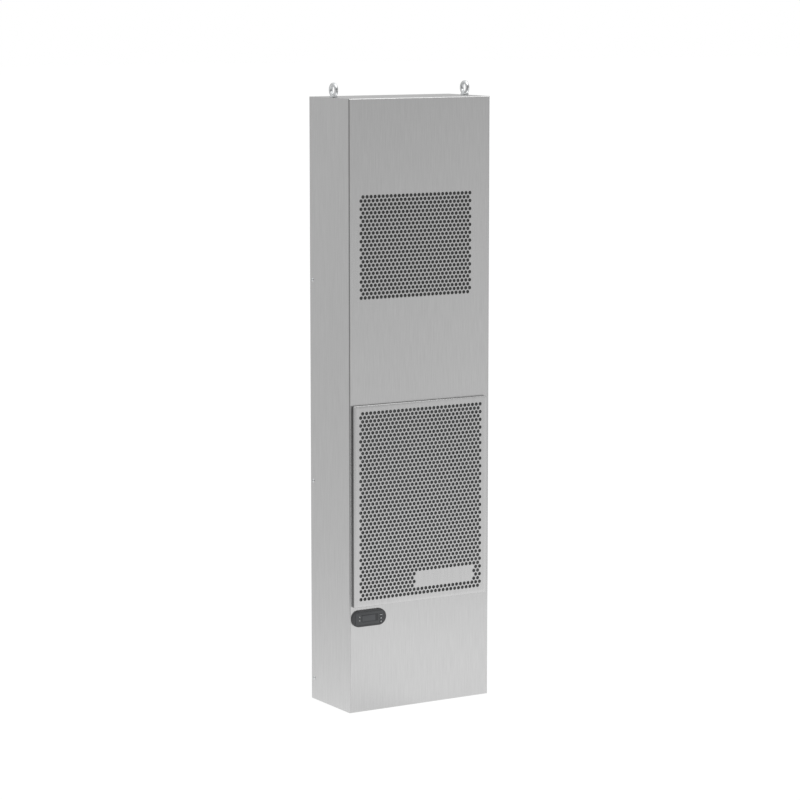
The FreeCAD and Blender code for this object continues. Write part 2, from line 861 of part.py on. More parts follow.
def wheel_planes():
    """Front and back planes of the radial wheel."""
    back = rear - intake_depth + inlet_overlap
    return back - wheel_width, back


def wheel_axis(y):
    """Point on the radial fan's axis."""
    return Vector(0, y, intake_height)


def make_wheel():
    """Radial wheel: a disc, backward-curved blades and a ring round its eye."""
    y_front, y_back = wheel_planes()
    radius = wheel_diameter / 2
    disc = prism(wheel_sides, radius, wheel_axis(y_front), wheel_axis(y_front + wheel_disc))
    ring = prism(wheel_sides, radius, wheel_axis(y_back - wheel_disc), wheel_axis(y_back))
    eye_radius = wheel_eye_diameter / 2
    ring = ring.cut(prism(wheel_sides, eye_radius, wheel_axis(y_front), wheel_axis(y_back + overrun)))
    blades = []
    for index in range(wheel_blade_count):
        blade = wheel_blade(y_front + wheel_disc / 2, y_back - wheel_disc / 2)
        blade.rotate(wheel_axis(0), y_axis, 360.0 * index / wheel_blade_count)
        blades.append(blade)
    bore_radius = shaft_diameter / 2 + thread_play
    bore = prism(shaft_sides, bore_radius, wheel_axis(y_front - overrun), wheel_axis(y_back))
    return disc.fuse([ring] + blades).cut(bore)


def wheel_blade(y_low, y_high):
    """One curved blade between the wheel's eye and its rim."""
    inner = wheel_eye_diameter / 2
    outer = wheel_diameter / 2 - wheel_blade_short
    start = Vector(inner, y_low, intake_height)
    lean = math.radians(wheel_blade_lean)
    end = Vector(outer * math.cos(lean), y_low, intake_height + outer * math.sin(lean))
    chord = end.sub(start)
    square = Vector(-chord.z, 0, chord.x).normalize()
    bulge = square * (chord.Length**2 / (8 * wheel_blade_radius))
    near = [start, start + chord / 3 + bulge, end - chord / 3 + bulge, end]
    far = [point + square * wheel_blade_thickness for point in reversed(near)]
    face = Part.Face(Part.makePolygon(near + far + near[:1]))
    return face.extrude(Vector(0, y_high - y_low, 0))


def make_wheel_motor():
    """Motor of the radial fan with its shaft."""
    y_front = wheel_planes()[0]
    y = y_front - motor_gap
    body = prism(motor_sides, wheel_motor_diameter / 2, wheel_axis(y - wheel_motor_length), wheel_axis(y))
    tip = y_front + 2 * wheel_disc
    return body.fuse(prism(shaft_sides, shaft_diameter / 2, wheel_axis(y), wheel_axis(tip)))


def make_wheel_bracket():
    """Angle plate that stands on the shelf and carries the radial fan's motor."""
    y = wheel_planes()[0] - motor_gap - wheel_motor_length
    z = shelf_height + sheet
    path = [(y - wheel_bracket_foot, z), (y, z), (y, chassis_top - wheel_bracket_headroom)]
    return folded_sheet(path, 2 * sheet, partition_bend, wheel_bracket_half_width)


def make_drain_tray():
    """Condensate tray on the back of the chassis, with its hose spigot over the hole in the cover's base."""
    x = outlet_half_width
    y_low = front + tray_from_front
    y_high = rear - sheet
    top = tray_bottom + tray_height
    outer = block(-x, x, y_low, y_high, tray_bottom, top)
    floor = tray_bottom + sheet
    inner = block(-x + sheet, x - sheet, y_low + sheet, y_high - sheet, floor, top + overrun)
    y = rear - spigot_from_rear
    spigot = rod(spigot_diameter / 2, Vector(0, y, spigot_end), Vector(0, y, tray_bottom))
    drain = rod(spigot_bore / 2, Vector(0, y, spigot_end - overrun), Vector(0, y, floor + overrun))
    return outer.cut(inner).fuse(spigot).cut(drain)


def make_terminal_block():
    """Terminal block set in the back, with its wire entries."""
    z = terminal_mid_height
    length = terminal_length - 2 * fit
    body = centred_plate(0, z, length, terminal_height - 2 * fit, rear - terminal_depth, rear)
    y_low = rear - terminal_hole_depth
    entries = []
    for way in range(terminal_ways):
        x = (way - (terminal_ways - 1) / 2) * terminal_pitch
        entries.append(centred_plate(x, z, terminal_hole, terminal_hole, y_low, rear + overrun))
    return body.cut(Part.makeCompound(entries))


def make_parts():
    """Every node of the unit by name."""
    parts = {
        "upper_grille": make_upper_grille(),
        "lower_grille": make_lower_grille(),
        "filter_mat": make_filter_mat(),
        "filter_frame": make_filter_frame(),
        "controller_bezel": make_bezel(),
        "controller_face": make_controller_face(),
        "controller_display": display_block(),
        "controller_lights": Part.makeCompound(light_pins()),
        "controller_keys": make_keys(),
        "controller_case": make_case(),
        "eyebolts": Part.makeCompound([make_eyebolt(x, y) for x, y in eyebolt_places()]),
        "lifting_brackets": Part.makeCompound([make_lifting_bracket(x, y) for x, y in eyebolt_places()]),
        "side_screws_left": make_side_screws(-1),
        "side_screws_right": make_side_screws(1),
        "intake_ring": make_intake_ring(),
        "wall_inserts": make_wall_inserts(),
        "rear_seal": make_rear_seal(),
        "partition": make_partition(),
        "condenser_coil": make_condenser_coil(),
        "condenser_frame": make_condenser_frame(),
        "condenser_fan_plate": make_fan_plate(),
        "condenser_fan_rotor": make_fan_rotor(),
        "condenser_fan_motor": make_fan_motor(),
        "condenser_fan_bracket": make_fan_bracket(),
        "evaporator_coil": make_evaporator_coil(),
        "evaporator_fan_wheel": make_wheel(),
        "evaporator_fan_motor": make_wheel_motor(),
        "evaporator_fan_bracket": make_wheel_bracket(),
        "drain_tray": make_drain_tray(),
        "terminal_block": make_terminal_block(),
    }
    parts.update(split_cover())
    parts.update(split_chassis())
    return parts


os.makedirs("parts", exist_ok=True)
for name, shape in make_parts().items():
    shape.exportStep("parts/" + name + ".step")
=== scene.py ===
"""Enclosure air conditioner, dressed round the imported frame: grilles, fittings, finishes and studio."""

import json
import logging
import math
from dataclasses import dataclass, replace
from enum import Enum

import bmesh
import bpy
from bmesh.types import BMEdge, BMesh, BMFace, BMVert
from bpy.types import Material, Node, NodeSocket, NodeTree
from mathutils import Matrix, Vector


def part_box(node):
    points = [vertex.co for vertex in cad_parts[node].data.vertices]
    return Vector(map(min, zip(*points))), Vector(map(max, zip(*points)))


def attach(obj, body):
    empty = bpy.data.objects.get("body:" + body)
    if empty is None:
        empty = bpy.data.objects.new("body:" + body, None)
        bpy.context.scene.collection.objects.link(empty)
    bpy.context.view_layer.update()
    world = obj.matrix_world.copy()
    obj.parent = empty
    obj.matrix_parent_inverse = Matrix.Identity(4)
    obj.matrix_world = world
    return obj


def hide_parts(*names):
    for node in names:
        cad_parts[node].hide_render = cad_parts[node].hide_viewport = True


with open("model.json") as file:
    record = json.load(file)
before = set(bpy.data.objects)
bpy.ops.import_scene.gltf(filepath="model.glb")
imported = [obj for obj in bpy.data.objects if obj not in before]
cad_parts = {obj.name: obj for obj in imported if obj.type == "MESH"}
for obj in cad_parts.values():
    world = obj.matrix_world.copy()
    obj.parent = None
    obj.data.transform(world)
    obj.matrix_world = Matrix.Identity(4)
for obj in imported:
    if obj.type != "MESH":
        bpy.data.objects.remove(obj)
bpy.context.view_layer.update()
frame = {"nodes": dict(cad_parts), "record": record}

log = logging.getLogger("air_conditioner")

MM = 0.001
ROOT = "root"
FRONT_TURN = Matrix.Rotation(math.radians(90.0), 4, "X")
UPWARD = Vector((0.0, 0.0, 1.0))
# Places nearer than this count as one
NEAR = 0.001 * MM
# Vertices of neighbouring cells and bends nearer than this are merged
MERGE = 0.02 * MM
# Faces that meet at more degrees than this keep a sharp edge between them
SHARP_FROM = 32.0
# Scale of a wave texture with its bands about 1 m apart
WAVE_SCALE = 0.31831
# Steps in a round corner
CORNER_STEPS = 6

Pair = tuple[float, float]
Pairs = tuple[Pair, ...]
Triple = tuple[float, float, float]
Colour = tuple[float, float, float, float]
Source = Node | NodeSocket
Inputs = dict[str | int, object]
Geometry = list[BMVert | BMEdge | BMFace]


# Colours and nodes


def grey(level: float) -> Colour:
    """Linear grey with an alpha of 1."""
    return (level, level, level, 1.0)


def linear(hex_colour: str) -> Colour:
    """Turn an sRGB hex colour into linear values.

    Args:
        hex_colour: Six hex digits.

    Returns:
        Red, green, blue and an alpha of 1.
    """
    channels = []
    for start in (0, 2, 4):
        value = int(hex_colour[start : start + 2], 16) / 255.0
        channels.append(value / 12.92 if value <= 0.04045 else ((value + 0.055) / 1.055) ** 2.4)
    return (*channels, 1.0)


def texture_scale(size_mm: float) -> float:
    """Scale of a texture whose spots or cells have a real size."""
    return 1.0 / (size_mm * MM)


def set_ramp(node: Node, stops: Pairs) -> Node:
    """Set the stops of a ramp.

    Args:
        node: Ramp with two stops.
        stops: Positions, in order, and the grey level of each.

    Returns:
        The same node.
    """
    for _ in stops[2:]:
        node.color_ramp.elements.new(1.0)
    for element, (position, level) in zip(node.color_ramp.elements, stops):
        element.position = position
        element.color = grey(level)
    return node


@dataclass(frozen=True)
class Graph:
    """Node tree of a material or of the world."""

    tree: NodeTree

    def add(self, kind: str, inputs: Inputs | None = None, **properties: str) -> Node:
        """Add a node with its settings and its incoming links.

        A Mix node's inputs 2 and 3 are its numbers, 4 and 5 its vectors, and 6 and 7 its colours. Its outputs
        0, 1 and 2 are a number, a vector and a colour.

        Args:
            kind: Node type name.
            inputs: A value, a socket, or a node for its first output, by input name or index.
            properties: The node's own properties.

        Returns:
            The new node.
        """
        node = self.tree.nodes.new(kind)
        for name, value in properties.items():
            setattr(node, name, value)
        for key, value in (inputs or {}).items():
            if isinstance(value, (Node, NodeSocket)):
                self.tree.links.new(value.outputs[0] if isinstance(value, Node) else value, node.inputs[key])
            else:
                node.inputs[key].default_value = value
        return node


# Finishes


@dataclass(frozen=True)
class Surface(Graph):
    """Node tree of a finish, with its shader and the object coordinates in metres."""

    shader: Node
    place: NodeSocket

    def drive(self, name: str, node: Node, output: int = 0) -> None:
        """Link one of a node's outputs to one of the shader's inputs."""
        self.tree.links.new(node.outputs[output], self.shader.inputs[name])


@dataclass(frozen=True)
class Finish:
    """Plain surface with one colour, one gloss and a fine grain.

    The grain of a real moulding or paint is 0.05 to 0.3 mm wide, too fine to show, so the plastics and paints
    have it two to six times as coarse.
    """

    name: str
    colour: str
    metallic: float = 0.0
    roughness: float = 0.5
    ior: float = 1.5
    relief_mm: float = 0.01
    grain_mm: float = 0.5
    grain_detail: float = 2.0
    gloss_spread: float = 0.05

    def material(self) -> Material:
        """Build the material, or return it if it is there already.

        Returns:
            The material of this finish.
        """
        made = bpy.data.materials.get(self.name)
        if made:
            return made
        made = bpy.data.materials.new(self.name)
        made.use_nodes = True
        shader = made.node_tree.nodes["Principled BSDF"]
        shader.inputs["Base Color"].default_value = linear(self.colour)
        shader.inputs["Metallic"].default_value = self.metallic
        shader.inputs["Roughness"].default_value = self.roughness
        if self.metallic < 1.0:
            shader.inputs["IOR"].default_value = self.ior
        place = Graph(made.node_tree).add("ShaderNodeTexCoord").outputs["Object"]
        self.dress(Surface(made.node_tree, shader, place))
        return made

    def dress(self, surface: Surface) -> None:
        """Add a grain that varies the gloss and stands out of the surface.

        Args:
            surface: Node tree of the material.
        """
        inputs = {"Vector": surface.place, "Scale": texture_scale(self.grain_mm), "Detail": self.grain_detail}
        grain = surface.add("ShaderNodeTexNoise", inputs)
        self.spread_gloss(surface, grain)
        self.relief(surface, grain)

    def spread_gloss(self, surface: Surface, pattern: Source) -> None:
        """Vary the roughness a little with a pattern of 0 to 1."""
        ends = {"To Min": self.roughness - self.gloss_spread, "To Max": self.roughness + self.gloss_spread}
        surface.drive("Roughness", surface.add("ShaderNodeMapRange", {"Value": pattern, **ends}))

    def relief(self, surface: Surface, height: Source) -> None:
        """Raise the surface by a pattern of 0 to 1."""
        inputs = {"Height": height, "Distance": self.relief_mm * MM}
        surface.drive("Normal", surface.add("ShaderNodeBump", inputs))


@dataclass(frozen=True)
class TwoTone(Finish):
    """Surface with a pattern that runs from a dark colour to the finish's own."""

    dark_colour: str = "2a2b2c"

    def tint(self, surface: Surface, share: Source) -> Node:
        """Blend the two colours: 0 is the dark one, 1 the finish's own."""
        inputs = {0: share, 6: linear(self.dark_colour), 7: linear(self.colour)}
        return surface.add("ShaderNodeMix", inputs, data_type="RGBA")

    def carve_with_painted_shade(self, surface: Surface, height: Source) -> None:
        """Raise the surface by a pattern of 0 to 1, and paint shade where it is low."""
        surface.drive("Base Color", self.tint(surface, height), 2)
        self.relief(surface, height)


@dataclass(frozen=True)
class BrushedSheet(TwoTone):
    """Cold-rolled sheet, brushed in one direction: long fine streaks give a soft satin sheen.

    The lines of a real brush are about 0.1 mm wide, too fine to show, so the widest are drawn at 2.4 mm.
    """

    dark_colour: str = "bfbfbf"
    streak_mm: float = 2.4
    streak_length_mm: float = 60.0
    streak_detail: float = 4.0
    streak_contrast: float = 0.65
    lying_from: float = 0.7
    # Shade is painted on the folds that lie beyond this x and in front of this y, and fades in between these
    # heights
    fold_x_mm: float = 197.6
    fold_y_mm: float = -91.1
    fold_z_mm: Pair = (225.0, 300.0)
    fold_painted_shade: float = 0.6

    def dress(self, surface: Surface) -> None:
        """Streaks run up the front and sides, and along the depth on the top and base.

        Args:
            surface: Node tree of the material.
        """
        across = texture_scale(self.streak_mm)
        along = texture_scale(self.streak_length_mm)
        upright, lying = (
            surface.add("ShaderNodeVectorMath", {0: surface.place, 1: scales}, operation="MULTIPLY")
            for scales in ((across, across, along), (across, along, along))
        )
        normal = surface.add("ShaderNodeNewGeometry").outputs["Normal"]
        slope = surface.add("ShaderNodeSeparateXYZ", {0: normal}).outputs["Z"]
        steep = surface.add("ShaderNodeMath", {0: slope}, operation="ABSOLUTE")
        flat = surface.add("ShaderNodeMath", {0: steep, 1: self.lying_from}, operation="GREATER_THAN")
        turned = surface.add("ShaderNodeMix", {0: flat, 4: upright, 5: lying}, data_type="VECTOR").outputs[1]
        grain = {"Scale": 1.0, "Detail": self.streak_detail, "Roughness": self.streak_contrast}
        streaks = surface.add("ShaderNodeTexNoise", {"Vector": turned, **grain})
        colour = self.tint(surface, streaks).outputs[2]
        surface.drive("Base Color", self.paint_fold_shade(surface, colour), 2)
        self.spread_gloss(surface, streaks)
        self.relief(surface, streaks)

    def paint_fold_shade(self, surface: Surface, colour: NodeSocket) -> Node:
        """Paint shade on the upright folds at the front corners, fading out towards the base.

        Args:
            surface: Node tree of the material.
            colour: Colour of the brushed face.

        Returns:
            Node that gives the colour with the painted shade on the folds.
        """
        x, y, z = surface.add("ShaderNodeSeparateXYZ", {0: surface.place}).outputs
        aside = surface.add("ShaderNodeMath", {0: x}, operation="ABSOLUTE")
        outer = surface.add("ShaderNodeMath", {0: aside, 1: self.fold_x_mm * MM}, operation="GREATER_THAN")
        front = surface.add("ShaderNodeMath", {0: y, 1: self.fold_y_mm * MM}, operation="LESS_THAN")
        corner = surface.add("ShaderNodeMath", {0: outer, 1: front}, operation="MULTIPLY")
        low, high = self.fold_z_mm
        inputs = {"Value": z, "From Min": low * MM, "From Max": high * MM, "To Max": corner}
        fold = surface.add("ShaderNodeMapRange", inputs)
        # Painted shade: the folds' colour is multiplied by this grey
        inputs = {0: fold, 6: colour, 7: grey(self.fold_painted_shade)}
        return surface.add("ShaderNodeMix", inputs, data_type="RGBA", blend_type="MULTIPLY")


@dataclass(frozen=True)
class SpangledSheet(TwoTone):
    """Hot-dip galvanised sheet: zinc crystals a few millimetres wide give patches of light and dark."""

    dark_colour: str = "b0b4b6"
    crystal_mm: float = 8.0

    def dress(self, surface: Surface) -> None:
        """Crystals as cells that differ in tone and gloss.

        Args:
            surface: Node tree of the material.
        """
        inputs = {"Vector": surface.place, "Scale": texture_scale(self.crystal_mm)}
        crystals = surface.add("ShaderNodeTexVoronoi", inputs).outputs["Color"]
        tone, gloss, _ = surface.add("ShaderNodeSeparateColor", {"Color": crystals}).outputs
        surface.drive("Base Color", self.tint(surface, tone), 2)
        self.spread_gloss(surface, gloss)


@dataclass(frozen=True)
class Ribbed(TwoTone):
    """Close straight ribs with shade painted in the gaps: one way for stacked fins, crossed for woven wire."""

    pitch_mm: float = 2.2
    directions: tuple[str, ...] = ("X",)
    stops: Pairs = ((0.45, 0.0), (0.7, 1.0))

    def dress(self, surface: Surface) -> None:
        """Ribs as bands of waves, with the higher on top where they cross.

        Args:
            surface: Node tree of the material.
        """
        inputs = {"Vector": surface.place, "Scale": WAVE_SCALE * texture_scale(self.pitch_mm)}
        waves = [surface.add("ShaderNodeTexWave", inputs, bands_direction=way) for way in self.directions]
        ribs = [wave.outputs["Fac"] for wave in waves]
        highest = surface.add("ShaderNodeMath", {0: ribs[0], 1: ribs[-1]}, operation="MAXIMUM")
        self.carve_with_painted_shade(surface, set_ramp(surface.add("ShaderNodeValToRGB", {"Fac": highest}), self.stops))


@dataclass(frozen=True)
class OpenFoam(TwoTone):
    """Reticulated foam: an open web of thin threads round pores with shade painted in them."""

    dark_colour: str = "2a2b2b"
    pore_mm: float = 1.8
    stops: Pairs = ((0.05, 1.0), (0.2, 0.0))

    def dress(self, surface: Surface) -> None:
        """Threads on the edges of cells, and pores inside them.

        Args:
            surface: Node tree of the material.
        """
        inputs = {"Vector": surface.place, "Scale": texture_scale(self.pore_mm)}
        edges = surface.add("ShaderNodeTexVoronoi", inputs, feature="DISTANCE_TO_EDGE").outputs["Distance"]
        self.carve_with_painted_shade(surface, set_ramp(surface.add("ShaderNodeValToRGB", {"Fac": edges}), self.stops))


FINISHES = {
    # Stainless steel sheet, brushed: pale, satin, with faint upright streaks and painted shade on the front
    # folds
    "stainless": BrushedSheet(
        "stainless_brushed", "dadada", metallic=1.0, roughness=0.3, relief_mm=0.003, gloss_spread=0.03
    ),
    # Steel forging and wire, bright zinc plated: mirror-like with soft ripples from the forging
    "zinc": Finish(
        "steel_zinc_plated",
        "dfe1e2",
        metallic=1.0,
        roughness=0.09,
        relief_mm=0.03,
        grain_mm=3.0,
        gloss_spread=0.04,
    ),
    # Galvanised steel sheet: grey, with zinc crystals
    "galvanised": SpangledSheet("steel_galvanised", "c4c8ca", metallic=1.0, roughness=0.38, gloss_spread=0.08),
    # Steel sheet, matt black powder coat: dark, with a fine orange peel
    "black_paint": Finish("steel_powder_coated", "3a3b3c", roughness=0.55, relief_mm=0.03, grain_mm=0.8),
    # Aluminium fin stock, pressed and stacked: bright lines with shade painted in the gaps
    "coil_fins": Ribbed("aluminium_fin_stock", "c9cbcd", metallic=0.9, roughness=0.35, relief_mm=0.4),
    # Glass-filled nylon, moulded: black with a slight grain
    "fan_plastic": Finish("nylon_moulded_black", "343536", roughness=0.45, gloss_spread=0.06),
    # Die-cast motor, painted satin black: a soft sheen over the casting's unevenness
    "motor_paint": Finish("castings_painted_black", "2c2d2e", roughness=0.4, relief_mm=0.03, grain_mm=1.2),
    # Polypropylene, moulded: dark grey and waxy
    "tray_plastic": Finish("polypropylene_moulded", "4a4c4d", roughness=0.42, grain_mm=0.7),
    # Polyamide terminal body, moulded: light grey-green and matt
    "terminal_plastic": Finish("polyamide_moulded", "a9aea6", relief_mm=0.008, gloss_spread=0.04),
    # Polyurethane filter foam, reticulated: near black, with shade painted in the open pores
    "filter_foam": OpenFoam("polyurethane_filter_foam", "77797a", roughness=0.9, relief_mm=0.6),
    # EPDM sponge, extruded: matt black with closed cells
    "seal_foam": Finish(
        "epdm_sponge", "232324", roughness=0.85, relief_mm=0.15, grain_mm=0.7, gloss_spread=0.04
    ),
    # ABS, moulded with a fine spark-eroded grain: dark grey and matt
    "bezel_plastic": Finish("abs_moulded_grey", "48494b", relief_mm=0.006, grain_mm=0.35),
    # Polycarbonate face film, polished: dark grey with a soft gloss
    "face_plastic": Finish(
        "polycarbonate_face", "4b4d4f", roughness=0.28, relief_mm=0.002, grain_mm=0.6, gloss_spread=0.03
    ),
    # Acrylic display window, smoked and polished: near black with a clear reflection
    "display_window": Finish(
        "acrylic_smoked", "2e3033", roughness=0.1, relief_mm=0.001, grain_mm=2.0, gloss_spread=0.02
    ),
    # Acrylic lens, clear and unlit: a pale glossy bead
    "light_lens": Finish("acrylic_lens", "d0d2d1", roughness=0.15, relief_mm=0.001, gloss_spread=0.02),
    # Silicone keys, moulded: dark and matt
    "key_plastic": Finish(
        "silicone_keys", "3b3d3f", roughness=0.62, relief_mm=0.004, grain_mm=0.3, gloss_spread=0.04
    ),
}
# The same stainless sheet on a folded flange, darker with shade painted into its colour, and softer than the
# brushed face
FLANGE_PAINTED_SHADE = replace(
    FINISHES["stainless"], name="stainless_flange_painted_shade", colour="949494", dark_colour="7e7e7e", roughness=0.36
)
# Stainless wire, woven into insect gauze: a fine grey grid with shade painted in the gaps. Real gauze has a wire
# every 1.3 mm, a little too fine to show
GAUZE = Ribbed(
    "stainless_wire_gauze",
    "4c4d4d",
    relief_mm=0.3,
    dark_colour="191a1a",
    pitch_mm=1.8,
    directions=("X", "Z"),
    stops=((0.72, 0.0), (0.9, 1.0)),
)
# Glass of the display, unlit: a shade paler than the window round it
DISPLAY_GLASS = replace(FINISHES["display_window"], name="glass_display_unlit", colour="4f5154", roughness=0.16)
# Pad-printed marks, pale grey ink: flat and even
INK = Finish("ink_pale", "c4c6c8", relief_mm=0.001, grain_mm=0.3, gloss_spread=0.03)


# Mesh helpers


def pick(kind: type, geom: Geometry) -> Geometry:
    """Pick the vertices, edges or faces out of mixed geometry."""
    return [item for item in geom if isinstance(item, kind)]


def soften(bm: BMesh, geom: Geometry, radius: float, steps: int, affect: str = "EDGES") -> None:
    """Round edges, or the corners of a flat face where affect is VERTICES."""
    bmesh.ops.bevel(
        bm, geom=geom, offset=radius, segments=steps, profile=0.5, affect=affect, clamp_overlap=True, material=-1
    )


def rectangle(
    bm: BMesh, length: float, tall: float, centre: Vector, corner: float = 0.0, steps: int = CORNER_STEPS
) -> BMFace:
    """Add a rectangle that faces +Z.

    Args:
        bm: Mesh to add to.
        length: Size along X.
        tall: Size along Y.
        centre: Its middle.
        corner: Corner radius.
        steps: Steps in each round corner.

    Returns:
        The new face.
    """
    others = set(bm.faces)
    verts = bmesh.ops.create_grid(bm, x_segments=1, y_segments=1, size=0.5)["verts"]
    bmesh.ops.scale(bm, vec=(length, tall, 1.0), verts=verts)
    bmesh.ops.translate(bm, vec=centre, verts=verts)
    if corner:
        soften(bm, verts, corner, steps, "VERTICES")
    return next(face for face in bm.faces if face not in others)


def raise_face(bm: BMesh, face: BMFace, height: float) -> BMFace:
    """Extrude a face along +Z and keep the bottom closed.

    Args:
        bm: Mesh that holds the face.
        face: Face to raise.
        height: How far.

    Returns:
        The raised face.
    """
    made = bmesh.ops.extrude_face_region(bm, geom=[face], use_keep_orig=True)["geom"]
    bmesh.ops.translate(bm, vec=(0.0, 0.0, height), verts=pick(BMVert, made))
    return pick(BMFace, made)[0]


def lathe(bm: BMesh, profile: list[Pair], centre: Vector, axis: Vector, steps: int) -> list[BMVert]:
    """Turn a profile about an axis, with closed ends where the radius is 0.

    Args:
        bm: Mesh to add to.
        profile: Radius and distance along the axis of each point.
        centre: Point on the axis at distance 0.
        axis: Unit vector along the axis.
        steps: Steps round the axis.

    Returns:
        The new vertices.
    """
    before = set(bm.verts)
    side = axis.orthogonal().normalized()
    verts = [bm.verts.new(centre + side * radius + axis * height) for radius, height in profile]
    edges = [bm.edges.new(pair) for pair in zip(verts, verts[1:])]
    bmesh.ops.spin(bm, geom=verts + edges, cent=centre, axis=axis, angle=math.tau, steps=steps, use_merge=True)
    made = [v for v in bm.verts if v not in before]
    bmesh.ops.remove_doubles(bm, verts=made, dist=NEAR)
    return [v for v in bm.verts if v not in before]


def scaled(shape: Pairs, radius: float, height: float) -> list[Pair]:
    """Turn a profile's shares of a radius and a height into sizes."""
    return [(radius * wide, height * tall) for wide, tall in shape]


def add_piece(
    bm: BMesh,
    name: str,
    slot: str | None,
    replaced: tuple[str, ...],
    stands_at: Vector | None = None,
    finishes: tuple[Finish, ...] = (),
) -> None:
    """Turn a mesh into a finished piece that rides on the body.

    Args:
        bm: Finished mesh in the part's own frame, or flat and facing +Z.
        name: Name of the piece.
        slot: Material slot of the record that it takes its finish from.
        replaced: CAD nodes that it stands for.
        stands_at: Where the origin of a flat mesh goes as it is turned to face the front.
        finishes: Finishes that it has in place of the slot's, by material index.
    """
    if stands_at:
        bmesh.ops.transform(bm, matrix=Matrix.Translation(stands_at) @ FRONT_TURN, verts=bm.verts[:])
    bmesh.ops.recalc_face_normals(bm, faces=bm.faces[:])
    mesh = bpy.data.meshes.new(name)
    bm.to_mesh(mesh)
    bm.free()
    for finish in finishes or (FINISHES[slot],):
        mesh.materials.append(finish.material())
    mesh.shade_smooth()
    mesh.set_sharp_from_angle(angle=math.radians(SHARP_FROM))
    piece = bpy.data.objects.new(name, mesh)
    bpy.context.scene.collection.objects.link(piece)
    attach(piece, ROOT)
    if replaced:
        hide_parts(*replaced)
    log.info("%s: %d faces", name, len(mesh.polygons))


# Perforated sheets


@dataclass
class PerforatedSheet:
    """Sheet with round holes in staggered rows, laid as six-sided cells that share their edges."""

    columns: int
    rows: int
    edge_to_hole: float
    ring: float
    pitch: float = 11.25 * MM
    hole: float = 8.8 * MM
    hole_steps: int = 18
    thickness: float = 1.0 * MM

    @property
    def cell_side(self) -> float:
        """Length of a cell's six sides."""
        return self.pitch / math.sqrt(3.0)

    def copy_by(self, bm: BMesh, geom: Geometry, shift: Triple) -> Geometry:
        """Copy geometry and move the copy.

        Args:
            bm: Mesh that holds it.
            geom: Geometry to copy.
            shift: How far the copy moves.

        Returns:
            The copied geometry.
        """
        made = bmesh.ops.duplicate(bm, geom=geom)["geom"]
        bmesh.ops.translate(bm, vec=shift, verts=pick(BMVert, made))
        return made

    def lay_cells(self, bm: BMesh, low: Vector, high: Vector) -> None:
        """Lay every cell flat, a set distance in from the left and the top.

        Args:
            bm: Empty mesh to add to.
            low: Lowest corner of the sheet.
            high: Its highest corner.
        """
        bmesh.ops.create_circle(bm, cap_ends=False, segments=self.hole_steps, radius=self.hole / 2.0)
        bmesh.ops.create_circle(bm, cap_ends=False, segments=6, radius=self.cell_side)
        bmesh.ops.triangle_fill(bm, use_beauty=True, use_dissolve=False, edges=bm.edges[:])
        bmesh.ops.translate(bm, vec=(self.pitch / 2.0, 0.0, 0.0), verts=bm.verts[:])
        cell = bm.verts[:] + bm.edges[:] + bm.faces[:]
        row = list(cell)
        for column in range(1, self.columns):
            row += self.copy_by(bm, cell, (self.pitch * column, 0.0, 0.0))
        for index in range(1, self.rows):
            aside = -self.pitch / 2.0 if index % 2 else 0.0
            self.copy_by(bm, row, (aside, -1.5 * self.cell_side * index, 0.0))
        bmesh.ops.remove_doubles(bm, verts=bm.verts[:], dist=MERGE)
        first = Vector((low.x + self.edge_to_hole, high.z - self.edge_to_hole, 0.0))
        bmesh.ops.translate(bm, vec=first, verts=bm.verts[:])

    def frame_cells(self, bm: BMesh, low: Vector, high: Vector) -> list[BMEdge]:
        """Fill the sheet from the cells out to its edge, with a plain ring along it.

        Args:
            bm: Mesh with the cells laid.
            low: Lowest corner of the sheet.
            high: Its highest corner.

        Returns:
            The edges of the sheet.
        """
        size = high - low
        inside = size - 2.0 * self.ring * Vector((1.0, 0.0, 1.0))
        centre = Vector((low.x + high.x, low.z + high.z, 0.0)) / 2.0
        cells = [e for e in bm.edges if e.is_boundary and e.calc_length() > self.cell_side / 2.0]
        face = rectangle(bm, inside.x, inside.z, centre)
        inner = list(face.edges)
        bmesh.ops.delete(bm, geom=[face], context="FACES_ONLY")
        bmesh.ops.triangle_fill(bm, use_beauty=True, use_dissolve=False, edges=cells + inner)
        made = bmesh.ops.extrude_edge_only(bm, edges=inner)["geom"]
        factors = (size.x / inside.x, size.z / inside.z, 1.0)
        bmesh.ops.scale(bm, vec=factors, space=Matrix.Translation(-centre), verts=pick(BMVert, made))
        return [e for e in pick(BMEdge, made) if e.is_boundary]

    def thicken(self, bm: BMesh) -> None:
        """Give the sheet its thickness behind its face.

        Args:
            bm: Mesh of the sheet's face, which faces +Z.
        """
        bmesh.ops.recalc_face_normals(bm, faces=bm.faces[:])
        bm.normal_update()
        if max(bm.faces, key=lambda f: f.calc_area()).normal.z < 0.0:
            bmesh.ops.reverse_faces(bm, faces=bm.faces[:])
        bmesh.ops.solidify(bm, geom=bm.faces[:], thickness=self.thickness)


